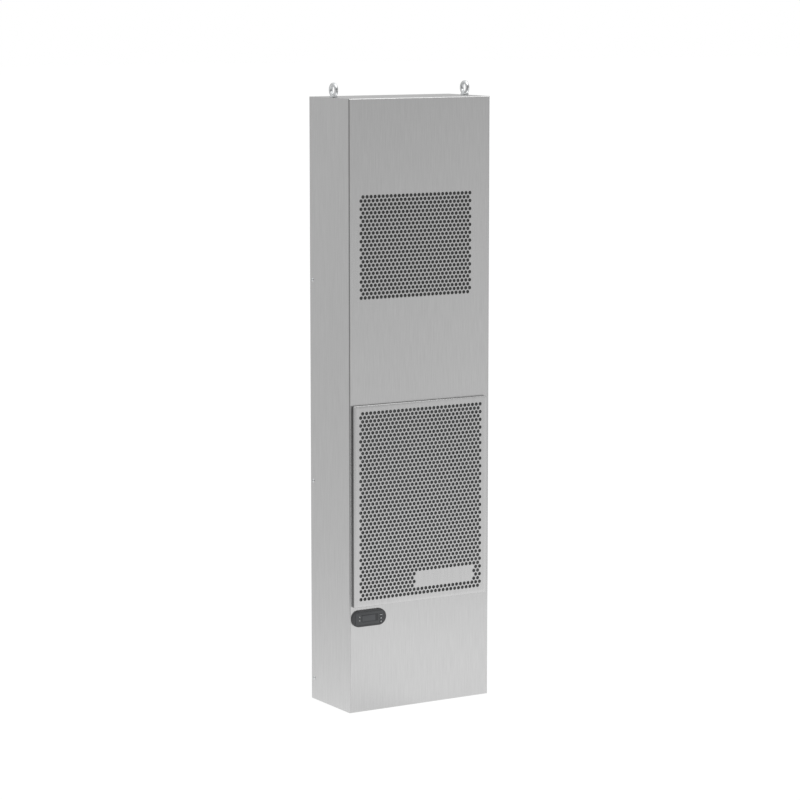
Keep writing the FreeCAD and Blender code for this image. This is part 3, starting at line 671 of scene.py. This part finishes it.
@dataclass
class UpperGrille(PerforatedSheet):
    """Field of round holes punched in the cover, flush with the sheet round it, and gauze behind it."""

    columns: int = 28
    rows: int = 26
    edge_to_hole: float = 16.0 * MM
    ring: float = 3.0 * MM
    gauze_inset: float = 4.0 * MM
    gauze_gap: float = 0.05 * MM
    gauze_thickness: float = 0.6 * MM

    def build(self) -> None:
        """Build the field in the cover's window."""
        low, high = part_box("upper_grille")
        bm = bmesh.new()
        self.lay_cells(bm, low, high)
        self.frame_cells(bm, low, high)
        self.thicken(bm)
        add_piece(bm, "upper_grille_sheet", "stainless", ("upper_grille",), Vector((0.0, low.y, 0.0)))
        self.build_gauze(low, high)

    def build_gauze(self, low: Vector, high: Vector) -> None:
        """Insect gauze welded behind the holes.

        Args:
            low: Lowest corner of the grille.
            high: Its highest corner.
        """
        bm = bmesh.new()
        size = high - low
        inset = 2.0 * self.gauze_inset
        centre = Vector((low.x + high.x, low.z + high.z, 0.0)) / 2.0
        face = rectangle(bm, size.x - inset, size.z - inset, centre, self.gauze_inset)
        raise_face(bm, face, self.gauze_thickness)
        back = low.y + self.thickness + self.gauze_gap + self.gauze_thickness
        add_piece(bm, "upper_grille_gauze", "stainless", (), Vector((0.0, back, 0.0)), (GAUZE,))


@dataclass
class LowerGrille(PerforatedSheet):
    """Folded panel that stands off the cover, perforated but for a blank patch low on the right."""

    columns: int = 31
    rows: int = 48
    edge_to_hole: float = 19.2 * MM
    ring: float = 8.0 * MM
    corner: float = 2.5 * MM
    bend: float = 1.6 * MM
    bend_steps: int = 4
    blank_low: Pair = (-18.7 * MM, 297.7 * MM)
    blank_high: Pair = (150.0 * MM, 336.7 * MM)

    def build(self) -> None:
        """Build the panel over the CAD panel's place."""
        low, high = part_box("lower_grille")
        bm = bmesh.new()
        self.lay_cells(bm, low, high)
        self.close_holes(bm)
        self.fold(bm, self.frame_cells(bm, low, high), high.y - low.y)
        self.thicken(bm)
        # The folded sides take the flange finish, whose colour has shade painted in
        for face in bm.faces:
            if face.calc_center_median().z < -self.bend:
                face.material_index = 1
        finishes = (FINISHES["stainless"], FLANGE_PAINTED_SHADE)
        place = Vector((0.0, low.y, 0.0))
        add_piece(bm, "lower_grille_panel", "stainless", ("lower_grille",), place, finishes)

    def close_holes(self, bm: BMesh) -> None:
        """Close every hole that reaches into the blank patch.

        Args:
            bm: Mesh with the cells laid.
        """
        reach = self.hole / 2.0
        edges = []
        for edge in bm.edges:
            middle = (edge.verts[0].co + edge.verts[1].co) / 2.0
            spans = zip(self.blank_low, middle.xy, self.blank_high)
            if edge.is_boundary and all(low - reach < value < high + reach for low, value, high in spans):
                edges.append(edge)
        bmesh.ops.holes_fill(bm, edges=edges, sides=self.hole_steps)

    def fold(self, bm: BMesh, rim: list[BMEdge], reach: float) -> None:
        """Fold the four sides back and round their corners and bends.

        Args:
            bm: Mesh of the flat sheet.
            rim: Outer edges of the sheet.
            reach: Depth of the sides.
        """
        verts = pick(BMVert, bmesh.ops.extrude_edge_only(bm, edges=rim)["geom"])
        bmesh.ops.translate(bm, vec=(0.0, 0.0, -reach), verts=verts)
        linked = {e for v in verts for e in v.link_edges}
        upright = [e for e in linked if abs(e.verts[0].co.z - e.verts[1].co.z) > reach / 2.0]
        soften(bm, upright, self.corner, self.bend_steps)
        bm.normal_update()
        front = []
        for edge in bm.edges:
            if len(edge.link_faces) == 2 and all(abs(v.co.z) < NEAR for v in edge.verts):
                one, other = (abs(f.normal.z) > 0.5 for f in edge.link_faces)
                if one != other:
                    front.append(edge)
        soften(bm, front, self.bend, self.bend_steps)
        bmesh.ops.remove_doubles(bm, verts=bm.verts[:], dist=MERGE)


# Fittings


@dataclass
class Eyebolts:
    """Forged lifting eyebolts, bright zinc plated."""

    ring_radius: float = 13.3 * MM
    section: float = 4.7 * MM
    section_steps: int = 20
    ring_steps: int = 48
    collar_radius: float = 10.0 * MM
    # Shares of the collar's radius, and heights in millimetres, up the collar and its neck
    collar_shape: Pairs = (
        (0.94, 0.0), (1.0, 0.6), (1.0, 3.2), (0.95, 4.0), (0.74, 4.6),
        (0.55, 5.6), (0.46, 7.0), (0.3, 7.8), (0.0, 7.9),
    )
    collar_steps: int = 40
    seat: float = 1500.0 * MM
    thread_radius: float = 3.7 * MM
    thread_length: float = 13.0 * MM
    thread_taper: float = 1.0 * MM
    thread_tip: float = 0.8
    places: Pairs = ((-187.0 * MM, 2.0 * MM), (187.0 * MM, 2.0 * MM))

    def build(self) -> None:
        """Build both eyebolts as one piece."""
        bm = bmesh.new()
        for x, y in self.places:
            self.add_ring(bm, Vector((x, y, self.seat + self.ring_radius + self.section)))
            self.add_foot(bm, Vector((x, y, self.seat)))
        add_piece(bm, "eyebolts_forged", "zinc", ("eyebolts",))

    def add_ring(self, bm: BMesh, centre: Vector) -> None:
        """Add the ring, square to X.

        Args:
            bm: Mesh to add to.
            centre: Middle of the ring.
        """
        place = Matrix.Translation(centre + self.ring_radius * UPWARD) @ FRONT_TURN
        made = bmesh.ops.create_circle(bm, segments=self.section_steps, radius=self.section, matrix=place)
        geom = made["verts"] + list({e for v in made["verts"] for e in v.link_edges})
        axis = (1.0, 0.0, 0.0)
        steps = self.ring_steps
        bmesh.ops.spin(bm, geom=geom, cent=centre, axis=axis, angle=math.tau, steps=steps, use_merge=True)

    def add_foot(self, bm: BMesh, seat: Vector) -> None:
        """Add the collar, the neck that runs up into the ring, and the threaded shank.

        Args:
            bm: Mesh to add to.
            seat: Point on the cover under the collar.
        """
        thread = self.thread_radius
        shank = [
            (0.0, -self.thread_length),
            (thread * self.thread_tip, -self.thread_length),
            (thread, self.thread_taper - self.thread_length),
            (thread, 0.0),
        ]
        collar = scaled(self.collar_shape, self.collar_radius, MM)
        lathe(bm, shank + collar, seat, UPWARD, self.collar_steps)


@dataclass
class SideScrews:
    """Pan head screws that hold the cover's sides."""

    head_radius: float = 4.5 * MM
    head_height: float = 2.2 * MM
    # Shares of the head's radius and height, in over its dome
    head_shape: Pairs = ((0.9, 0.62), (0.7, 0.88), (0.45, 0.99))
    head_rim: float = 0.5 * MM
    shank_radius: float = 2.4 * MM
    shank_length: float = 9.0 * MM
    socket_radius: float = 1.5 * MM
    socket_depth: float = 1.4 * MM
    socket_point: float = 0.3 * MM
    socket_taper: float = 0.92
    lobes: int = 6
    lobe_share: float = 0.16
    steps: int = 24
    heights_mm: Triple = (53.0, 553.0, 1053.0)

    def build(self) -> None:
        """Build the three screws of each side."""
        for side, node in ((-1.0, "side_screws_left"), (1.0, "side_screws_right")):
            low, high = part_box(node)
            face_x = low.x + self.head_height if side < 0.0 else high.x - self.head_height
            bm = bmesh.new()
            for height in self.heights_mm:
                seat = Vector((face_x, (low.y + high.y) / 2.0, height * MM))
                self.add_screw(bm, seat, Vector((side, 0.0, 0.0)))
            add_piece(bm, node + "_pan_head", "zinc", (node,))

    def add_screw(self, bm: BMesh, seat: Vector, outward: Vector) -> None:
        """Add one screw: shank, domed head and a six-lobed drive socket.

        Args:
            bm: Mesh to add to.
            seat: Point under the head.
            outward: Unit vector away from the sheet.
        """
        wide = self.head_radius
        tall = self.head_height
        deep = tall - self.socket_depth
        profile = [
            (0.0, -self.shank_length),
            (self.shank_radius - 0.4 * MM, 0.4 * MM - self.shank_length),
            (self.shank_radius, 1.0 * MM - self.shank_length),
            (self.shank_radius, 0.0),
            (wide, 0.0),
            (wide, self.head_rim),
            *scaled(self.head_shape, wide, tall),
            (self.socket_radius, tall),
            (self.socket_radius * self.socket_taper, deep),
            (0.0, deep - self.socket_point),
        ]
        for vert in lathe(bm, profile, seat, outward, self.steps):
            along = (vert.co - seat).dot(outward)
            radial = vert.co - seat - outward * along
            if along > deep - NEAR and NEAR < radial.length < self.socket_radius + NEAR:
                turn = math.atan2(radial.z, radial.y)
                vert.co += radial * self.lobe_share * math.cos(self.lobes * turn)


@dataclass
class WallInserts:
    """Rivet nuts in the back that take the wall bolts."""

    bore: float = 3.0 * MM
    flange: float = 5.6 * MM
    proud: float = 0.5 * MM
    body: float = 4.4 * MM
    lead_in: float = 0.5 * MM
    edge: float = 0.2 * MM
    steps: int = 28

    def build(self) -> None:
        """Build the six inserts in the CAD inserts' places."""
        low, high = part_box("wall_inserts")
        depth = high.y - low.y
        profile = [
            (self.bore, self.lead_in - self.proud),
            (self.bore + self.lead_in, -self.proud),
            (self.flange - self.edge, -self.proud),
            (self.flange, self.edge - self.proud),
            (self.flange, 0.0),
            (self.body, 0.0),
            (self.body, depth - self.lead_in),
            (self.body - self.lead_in, depth),
            (self.bore, depth),
            (self.bore, self.lead_in - self.proud),
        ]
        bm = bmesh.new()
        for x, z in self.find_middles():
            lathe(bm, profile, Vector((x, high.y, z)), Vector((0.0, -1.0, 0.0)), self.steps)
        add_piece(bm, "wall_insert_rivet_nuts", "zinc", ("wall_inserts",))

    def find_middles(self) -> list[Pair]:
        """Middles of the inserts, from the record's bolt patterns.

        Returns:
            X and Z of each.
        """
        places = []
        for mount in frame["record"]["mounts"]:
            if mount["name"].startswith("wall_bolts"):
                x, _, z = mount["pos_m"]
                half_x = mount["dims"]["spacing_x_mm"] * MM / 2.0
                half_z = mount["dims"].get("spacing_y_mm", 0.0) * MM / 2.0
                levels = sorted({z - half_z, z + half_z})
                places += [(x + aside, level) for aside in (-half_x, half_x) for level in levels]
        return places


@dataclass
class RadialWheel:
    """Radial fan wheel behind the round intake: domed hub, disc, curved blades and a ring round the eye."""

    eye: float = 74.15 * MM
    disc: float = 2.0 * MM
    ring: float = 2.0 * MM
    lip: float = 4.0 * MM
    edge: float = 0.4 * MM
    hub_radius: float = 36.0 * MM
    hub_height: float = 17.0 * MM
    # Shares of the hub's radius and height, out over its dome
    hub_shape: Pairs = ((0.0, 1.0), (0.3, 0.98), (0.55, 0.9), (0.76, 0.74), (0.9, 0.52), (1.0, 0.28))
    bore: float = 4.1 * MM
    bore_depth: float = 5.0 * MM
    blades: int = 9
    blade_thickness: float = 2.0 * MM
    blade_lean: float = 35.0
    blade_bulge: float = 0.12
    blade_steps: int = 8
    steps: int = 72

    def build(self) -> None:
        """Build the wheel in the CAD wheel's place."""
        low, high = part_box("evaporator_fan_wheel")
        middle = (low + high) / 2.0
        seat = Vector((middle.x, low.y, middle.z))
        radius = (high.x - low.x) / 2.0
        depth = high.y - low.y
        disc = [
            *scaled(self.hub_shape, self.hub_radius, self.hub_height),
            (self.hub_radius * 1.12, self.disc * 1.3),
            (self.hub_radius * 1.35, self.disc),
            (radius - self.edge, self.disc),
            (radius, self.disc - self.edge),
            (radius, 0.0),
            (self.bore, 0.0),
            (self.bore, self.bore_depth),
            (0.0, self.bore_depth),
        ]
        ring = [
            (self.eye, depth - self.lip),
            (self.eye, depth - self.edge),
            (self.eye + self.edge, depth),
            (radius - self.edge, depth),
            (radius, depth - self.edge),
            (radius, depth - self.ring),
            (self.eye + self.ring * 1.5, depth - self.ring),
            (self.eye + self.ring * 0.75, depth - self.lip),
            (self.eye, depth - self.lip),
        ]
        bm = bmesh.new()
        for profile in (disc, ring):
            lathe(bm, profile, seat, Vector((0.0, 1.0, 0.0)), self.steps)
        for index in range(self.blades):
            self.add_blade(bm, seat, radius, depth, math.tau * index / self.blades)
        add_piece(bm, "evaporator_fan_radial_wheel", "fan_plastic", ("evaporator_fan_wheel",))

    def add_blade(self, bm: BMesh, seat: Vector, radius: float, depth: float, turn: float) -> None:
        """Add a backward-curved blade between the disc and the ring.

        Args:
            bm: Mesh to add to.
            seat: Middle of the disc's outer face.
            radius: Radius of the wheel.
            depth: Height of the wheel.
            turn: Angle of the blade about the axis.
        """
        start = Vector((self.eye + self.ring, 0.0, 0.0))
        lean = Matrix.Rotation(math.radians(-self.blade_lean), 3, "Y")
        chord = lean @ Vector((radius - self.edge * 2.0, 0.0, 0.0)) - start
        square = Vector((-chord.z, 0.0, chord.x)).normalized()
        rise = Vector((0.0, self.disc / 2.0, 0.0))
        near = []
        for step in range(self.blade_steps + 1):
            share = step / self.blade_steps
            bulge = square * (chord.length * self.blade_bulge * 4.0 * share * (1.0 - share))
            near.append(start + rise + chord * share + bulge)
        far = [point + square * self.blade_thickness for point in reversed(near)]
        verts = [bm.verts.new(point) for point in near + far]
        made = bmesh.ops.extrude_face_region(bm, geom=[bm.faces.new(verts)], use_keep_orig=True)["geom"]
        raised = pick(BMVert, made)
        bmesh.ops.translate(bm, vec=(0.0, depth - (self.disc + self.ring) / 2.0, 0.0), verts=raised)
        place = Matrix.Translation(seat) @ Matrix.Rotation(turn, 4, "Y")
        bmesh.ops.transform(bm, matrix=place, verts=verts + raised)


class KeyMark(Enum):
    """What is printed on a key. An arrow's value is the way it points, in degrees."""

    BAR = None
    UP = 90.0
    DOWN = -90.0


@dataclass
class Controller:
    """Digital controller in an oblong bezel: face, display, two lights and three keys.

    Each rounding below is a tile's corner radius and the rounding of its front edge.
    """

    recess: float = 0.8 * MM
    play: float = 0.3 * MM
    edge: float = 1.8 * MM
    edge_steps: int = 4
    end_flat: float = 0.01 * MM
    end_steps: int = 20
    face_corner: float = 4.0 * MM
    face_rounding: Pair = (3.7 * MM, 0.5 * MM)
    window_proud: float = 0.2 * MM
    window_rounding: Pair = (1.2 * MM, 0.2 * MM)
    glass_share: float = 0.8
    glass_inset: float = 1.6 * MM
    glass_thickness: float = 0.3 * MM
    glass_rounding: Pair = (0.8 * MM, 0.1 * MM)
    lens_rise: float = 4.25 * MM
    lens_radius: float = 1.3 * MM
    # Shares of the lens's radius, and heights in millimetres, from its foot to its top
    lens_shape: Pairs = ((0.0, -0.7), (1.0, -0.7), (1.0, 0.1), (0.85, 0.35), (0.45, 0.5), (0.0, 0.55))
    lens_steps: int = 20
    key_tall: float = 6.0 * MM
    key_sunk: float = 0.2 * MM
    key_rounding: Pair = (1.5 * MM, 0.25 * MM)
    mark_length: float = 7.6 * MM
    mark_width: float = 1.4 * MM
    mark_rounding: Pair = (0.2 * MM, 0.01 * MM)
    arrow_radius: float = 2.7 * MM
    ink: float = 0.06 * MM

    @property
    def origin(self) -> Vector:
        """Middle of the bezel's back, on the cover's face."""
        low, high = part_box("controller_bezel")
        return Vector(((low.x + high.x) / 2.0, high.y, (low.z + high.z) / 2.0))

    def build(self) -> None:
        """Build each piece over its CAD node."""
        self.build_bezel()
        self.build_face()
        self.build_display()
        self.build_lights()
        self.build_keys()

    def local_box(self, node: str) -> tuple[Vector, Vector]:
        """Find a node's box in the bezel's own plane.

        Args:
            node: Name of the CAD node.

        Returns:
            Its middle and its size, with X along the bezel, Y up and Z towards the front.
        """
        low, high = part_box(node)
        middle = (low + high) / 2.0 - self.origin
        size = high - low
        return Vector((middle.x, middle.z, -middle.y)), Vector((size.x, size.z, size.y))

    def add_tile(self, bm: BMesh, middle: Vector, size: Vector, rounding: Pair) -> None:
        """Add a tile with round corners and a softened front.

        Args:
            bm: Mesh to add to.
            middle: Its middle.
            size: Its length, height and thickness.
            rounding: Corner radius, and rounding of the front edge.
        """
        corner, edge = rounding
        face = rectangle(bm, size.x, size.y, middle - UPWARD * size.z / 2.0, corner)
        soften(bm, list(raise_face(bm, face, size.z).edges), edge, self.edge_steps - 1)

    def build_bezel(self) -> None:
        """Bezel with round ends, a rounded front and a recess for the face."""
        bm = bmesh.new()
        size = self.local_box("controller_bezel")[1]
        seat_size = self.local_box("controller_face")[1] + Vector((1.0, 1.0, 0.0)) * self.play * 2.0
        face = rectangle(bm, size.x, size.y, Vector(), size.y / 2.0 - self.end_flat, self.end_steps)
        soften(bm, list(raise_face(bm, face, size.z).edges), self.edge, self.edge_steps)
        top = max(bm.faces, key=lambda f: (f.calc_center_median().z > size.z * 0.9, f.calc_area()))
        seat = rectangle(bm, seat_size.x, seat_size.y, UPWARD * size.z, self.face_corner)
        inner = list(seat.edges)
        ring = list(top.edges) + inner
        bmesh.ops.delete(bm, geom=[top, seat], context="FACES_ONLY")
        bmesh.ops.triangle_fill(bm, use_beauty=True, use_dissolve=False, edges=ring)
        made = bmesh.ops.extrude_edge_only(bm, edges=inner)["geom"]
        bmesh.ops.translate(bm, vec=(0.0, 0.0, -self.recess), verts=pick(BMVert, made))
        bmesh.ops.contextual_create(bm, geom=[e for e in pick(BMEdge, made) if e.is_boundary])
        add_piece(bm, "controller_bezel_moulding", "bezel_plastic", ("controller_bezel",), self.origin)

    def build_face(self) -> None:
        """Face plate, a little proud of the bezel."""
        bm = bmesh.new()
        self.add_tile(bm, *self.local_box("controller_face"), self.face_rounding)
        add_piece(bm, "controller_face_plate", "face_plastic", ("controller_face",), self.origin)

    def build_display(self) -> None:
        """Smoked display window with a paler glass over its lit part."""
        bm = bmesh.new()
        middle, size = self.local_box("controller_display")
        proud = UPWARD * self.window_proud
        self.add_tile(bm, middle + proud / 2.0, size + proud, self.window_rounding)
        add_piece(bm, "controller_display_window", "display_window", ("controller_display",), self.origin)
        bm = bmesh.new()
        length = size.x * self.glass_share
        aside = (length - size.x) / 2.0 + self.glass_inset
        spot = middle + Vector((aside, 0.0, size.z / 2.0 + self.window_proud))
        glass = Vector((length - self.glass_inset, size.y - 2.0 * self.glass_inset, self.glass_thickness))
        self.add_tile(bm, spot, glass, self.glass_rounding)
        add_piece(bm, "controller_display_glass", "display_window", (), self.origin, (DISPLAY_GLASS,))

    def build_lights(self) -> None:
        """Two round indicator lenses."""
        bm = bmesh.new()
        middle, size = self.local_box("controller_lights")
        profile = scaled(self.lens_shape, self.lens_radius, MM)
        for rise in (-self.lens_rise, self.lens_rise):
            lathe(bm, profile, middle + Vector((0.0, rise, size.z / 2.0)), UPWARD, self.lens_steps)
        add_piece(bm, "controller_light_lenses", "light_lens", ("controller_lights",), self.origin)

    def build_keys(self) -> None:
        """Three soft keys, with a printed bar, an up mark and a down mark."""
        bm = bmesh.new()
        marks = bmesh.new()
        middle, size = self.local_box("controller_keys")
        pitch = (size.y - self.key_tall) / 2.0
        key = Vector((size.x, self.key_tall, size.z + self.key_sunk))
        for row, mark in ((1, KeyMark.BAR), (0, KeyMark.UP), (-1, KeyMark.DOWN)):
            centre = middle + Vector((0.0, pitch * row, 0.0))
            self.add_tile(bm, centre - UPWARD * self.key_sunk / 2.0, key, self.key_rounding)
            self.print_mark(marks, centre + UPWARD * size.z / 2.0, mark)
        add_piece(bm, "controller_keypad", "key_plastic", ("controller_keys",), self.origin)
        add_piece(marks, "controller_key_marks", None, (), self.origin, (INK,))

    def print_mark(self, bm: BMesh, spot: Vector, mark: KeyMark) -> None:
        """Add a mark to a key.

        Args:
            bm: Mesh of the marks.
            spot: Middle of the key's top.
            mark: What it is.
        """
        if mark is KeyMark.BAR:
            bar = Vector((self.mark_length, self.mark_width, self.ink))
            self.add_tile(bm, spot, bar, self.mark_rounding)
            return
        place = Matrix.Translation(spot) @ Matrix.Rotation(math.radians(mark.value - 90.0), 4, "Z")
        made = bmesh.ops.create_circle(bm, cap_ends=True, segments=3, radius=self.arrow_radius, matrix=place)
        raise_face(bm, made["verts"][0].link_faces[0], self.ink)


# Studio


@dataclass(frozen=True)
class Lamp:
    """Square soft lamp that looks at the middle of the object."""

    name: str
    place: Triple
    side: float
    watts: float
    target: Triple = (0.0, 0.0, 0.75)

    def build(self) -> None:
        """Hang the lamp in the scene."""
        data = bpy.data.lights.new(self.name, "AREA")
        data.shape = "SQUARE"
        data.size = self.side
        data.energy = self.watts
        lamp = bpy.data.objects.new(self.name, data)
        lamp.location = self.place
        lamp.rotation_euler = (Vector(self.target) - Vector(self.place)).to_track_quat("-Z", "Y").to_euler()
        bpy.context.scene.collection.objects.link(lamp)


@dataclass
class Studio:
    """White floor and background, a soft surround for the metal, two lamps and the camera.

    The glows are what metal sees of the surround, where 1 is white. Towards the front it has a dim end.
    """

    camera_place: Triple = (-3.6722, -6.0835, 1.7446)
    yaw: float = 31.11
    pitch: float = 7.963
    lens: float = 130.25
    sensor: float = 36.0
    clip_end: float = 200.0
    floor_size: float = 120.0
    floor_drop: float = 0.2 * MM
    paper_grey: float = 0.12
    paper_glow: float = 0.94
    near_glow: float = 1.07
    far_glow: float = 0.675
    dark_glow: float = 0.26
    even_glow: float = 0.72
    glow_reach: float = 1.5
    glow_middle: Triple = (0.3, -0.6, 0.0)
    sky: Pairs = ((0.0, 0.66), (0.22, 0.6), (0.55, 0.92), (1.0, 1.0))
    dim_cosines: Pair = (0.8, 0.985)
    dim_heights: Pair = (0.25, 0.7)
    back_left: Triple = (-0.51, 0.86, 0.0)
    sky_gain: float = 0.18
    floor_gain: float = -0.04
    lamps: tuple[Lamp, ...] = (
        Lamp("overhead_softbox", (0.5, -0.8, 4.2), 3.2, 55.0),
        Lamp("right_softbox", (2.4, -1.9, 0.5), 1.6, 1.2),
    )

    def build(self) -> None:
        """Build everything round the object."""
        self.build_camera()
        self.build_floor()
        self.build_world()
        for lamp in self.lamps:
            lamp.build()
        bpy.context.scene.view_settings.view_transform = "Standard"

    def build_camera(self) -> None:
        """Camera at the photograph's viewpoint."""
        data = bpy.data.cameras.new("camera")
        data.lens = self.lens
        data.sensor_width = self.sensor
        data.clip_end = self.clip_end
        camera = bpy.data.objects.new("camera", data)
        camera.location = self.camera_place
        camera.rotation_euler = (math.radians(90.0 - self.pitch), 0.0, -math.radians(self.yaw))
        bpy.context.scene.collection.objects.link(camera)
        bpy.context.scene.camera = camera

    def facing(self, graph: Graph, direction: Source, toward: Triple) -> NodeSocket:
        """Cosine of the angle between a direction, or a place round the object, and a fixed direction."""
        unit = graph.add("ShaderNodeVectorMath", {0: direction}, operation="NORMALIZE")
        return graph.add("ShaderNodeVectorMath", {0: unit, 1: toward}, operation="DOT_PRODUCT").outputs["Value"]

    def dim_share(self, graph: Graph, direction: NodeSocket) -> Node:
        """How far a direction points to the dim end of the studio, whatever its slope.

        Args:
            graph: Node tree to add to.
            direction: Direction, or a place round the object.

        Returns:
            Node that gives 1 towards the dim end and 0 away from it.
        """
        turn = math.radians(self.yaw)
        level = graph.add("ShaderNodeVectorMath", {0: direction, 1: (1.0, 1.0, 0.0)}, operation="MULTIPLY")
        cosine = self.facing(graph, level, (-math.sin(turn), -math.cos(turn), 0.0))
        low, high = self.dim_cosines
        inputs = {"Value": cosine, "From Min": low, "From Max": high}
        return graph.add("ShaderNodeMapRange", inputs, interpolation_type="SMOOTHSTEP")

    def tilted(self, graph: Graph, direction: NodeSocket, level: Node, gain: float) -> Node:
        """Raise a level towards the back left of the studio and lower it away from there.

        Args:
            graph: Node tree to add to.
            direction: Direction, or a place round the object.
            level: Level to tilt.
            gain: Share by which it changes.

        Returns:
            Node that gives the tilted level.
        """
        cosine = self.facing(graph, direction, self.back_left)
        share = graph.add("ShaderNodeMath", {0: cosine, 1: gain, 2: 1.0}, operation="MULTIPLY_ADD")
        return graph.add("ShaderNodeMath", {0: level, 1: share}, operation="MULTIPLY")

    def show(self, graph: Graph, glowing: str, output: str, graded: Node, seen: Node) -> None:
        """Give each kind of ray its own view of the floor or the background.

        The camera sees a shader of its own, also through glass, metal sees the graded level, and matt surfaces
        get an even one.

        Args:
            graph: Node tree to add to.
            glowing: Type of the node that glows.
            output: Type of the output node.
            graded: Level that metal sees.
            seen: Shader that the camera sees.
        """
        rays = graph.add("ShaderNodeLightPath").outputs
        level = graph.add("ShaderNodeMix", {0: rays["Is Glossy Ray"], 2: self.even_glow, 3: graded})
        surround = graph.add(glowing, {"Strength": level})
        direct = {0: rays["Is Camera Ray"], 1: rays["Is Transmission Ray"]}
        straight = graph.add("ShaderNodeMath", direct, operation="MAXIMUM")
        shown = graph.add("ShaderNodeMixShader", {0: straight, 1: surround, 2: seen})
        graph.add(output, {"Surface": shown})

    def build_floor(self) -> None:
        """Floor that is white to the camera, keeps a soft shadow, and glows more near the object."""
        bm = bmesh.new()
        rectangle(bm, self.floor_size, self.floor_size, -UPWARD * self.floor_drop)
        mesh = bpy.data.meshes.new("studio_floor")
        bm.to_mesh(mesh)
        bm.free()
        material = bpy.data.materials.new("paper_floor")
        material.use_nodes = True
        material.node_tree.nodes.clear()
        graph = Graph(material.node_tree)
        place = graph.add("ShaderNodeTexCoord").outputs["Object"]
        far = {0: self.dim_share(graph, place), 2: self.far_glow, 3: self.dark_glow}
        level = self.tilted(graph, place, graph.add("ShaderNodeMix", far), self.floor_gain)
        reach = graph.add("ShaderNodeVectorMath", {0: place, 1: self.glow_middle}, operation="DISTANCE")
        ratio = graph.add("ShaderNodeMath", {0: reach.outputs["Value"], 1: self.glow_reach}, operation="DIVIDE")
        more = graph.add("ShaderNodeMath", {0: ratio, 1: ratio, 2: 1.0}, operation="MULTIPLY_ADD")
        near = graph.add("ShaderNodeMath", {0: 1.0, 1: more}, operation="DIVIDE")
        glow = graph.add("ShaderNodeMix", {0: near, 2: level, 3: self.near_glow})
        paper = graph.add("ShaderNodeBsdfDiffuse", {"Color": grey(self.paper_grey)})
        white = graph.add("ShaderNodeEmission", {"Strength": self.paper_glow})
        seen = graph.add("ShaderNodeAddShader", {0: paper, 1: white})
        self.show(graph, "ShaderNodeEmission", "ShaderNodeOutputMaterial", glow, seen)
        mesh.materials.append(material)
        floor = bpy.data.objects.new("studio_floor", mesh)
        bpy.context.scene.collection.objects.link(floor)

    def build_world(self) -> None:
        """Background that is white to the camera and a soft surround to everything else."""
        world = bpy.data.worlds.new("studio_surround")
        bpy.context.scene.world = world
        world.use_nodes = True
        world.node_tree.nodes.clear()
        graph = Graph(world.node_tree)
        direction = graph.add("ShaderNodeTexCoord").outputs["Generated"]
        rise = graph.add("ShaderNodeSeparateXYZ", {0: direction}).outputs["Z"]
        sky = set_ramp(graph.add("ShaderNodeValToRGB", {"Fac": rise}), self.sky)
        height = self.tilted(graph, direction, sky, self.sky_gain)
        low, high = self.dim_heights
        near = self.dim_share(graph, direction)
        inputs = {"Value": rise, "From Min": low, "From Max": high, "To Min": near, "To Max": 0.0}
        dim = graph.add("ShaderNodeMapRange", inputs)
        glow = graph.add("ShaderNodeMix", {0: dim, 2: height, 3: self.dark_glow})
        white = graph.add("ShaderNodeBackground", {"Color": (1.0, 1.0, 1.0, 1.0)})
        self.show(graph, "ShaderNodeBackground", "ShaderNodeOutputWorld", glow, white)


def dress_frame() -> None:
    """Give every CAD node the finish of its material slot."""
    for row in frame["record"]["subparts"]:
        node = frame["nodes"][row["node"]]
        material = FINISHES[row["material_slot"]].material()
        if not node.material_slots:
            node.data.materials.append(material)
        for slot in node.material_slots:
            slot.material = material
        log.info("%s: %s", row["node"], material.name)


def main() -> None:
    """Dress the frame, build the pieces and light them."""
    logging.basicConfig(level=logging.INFO)
    dress_frame()
    UpperGrille().build()
    LowerGrille().build()
    Eyebolts().build()
    SideScrews().build()
    WallInserts().build()
    RadialWheel().build()
    Controller().build()
    Studio().build()


if __name__ == "__main__":
    main()
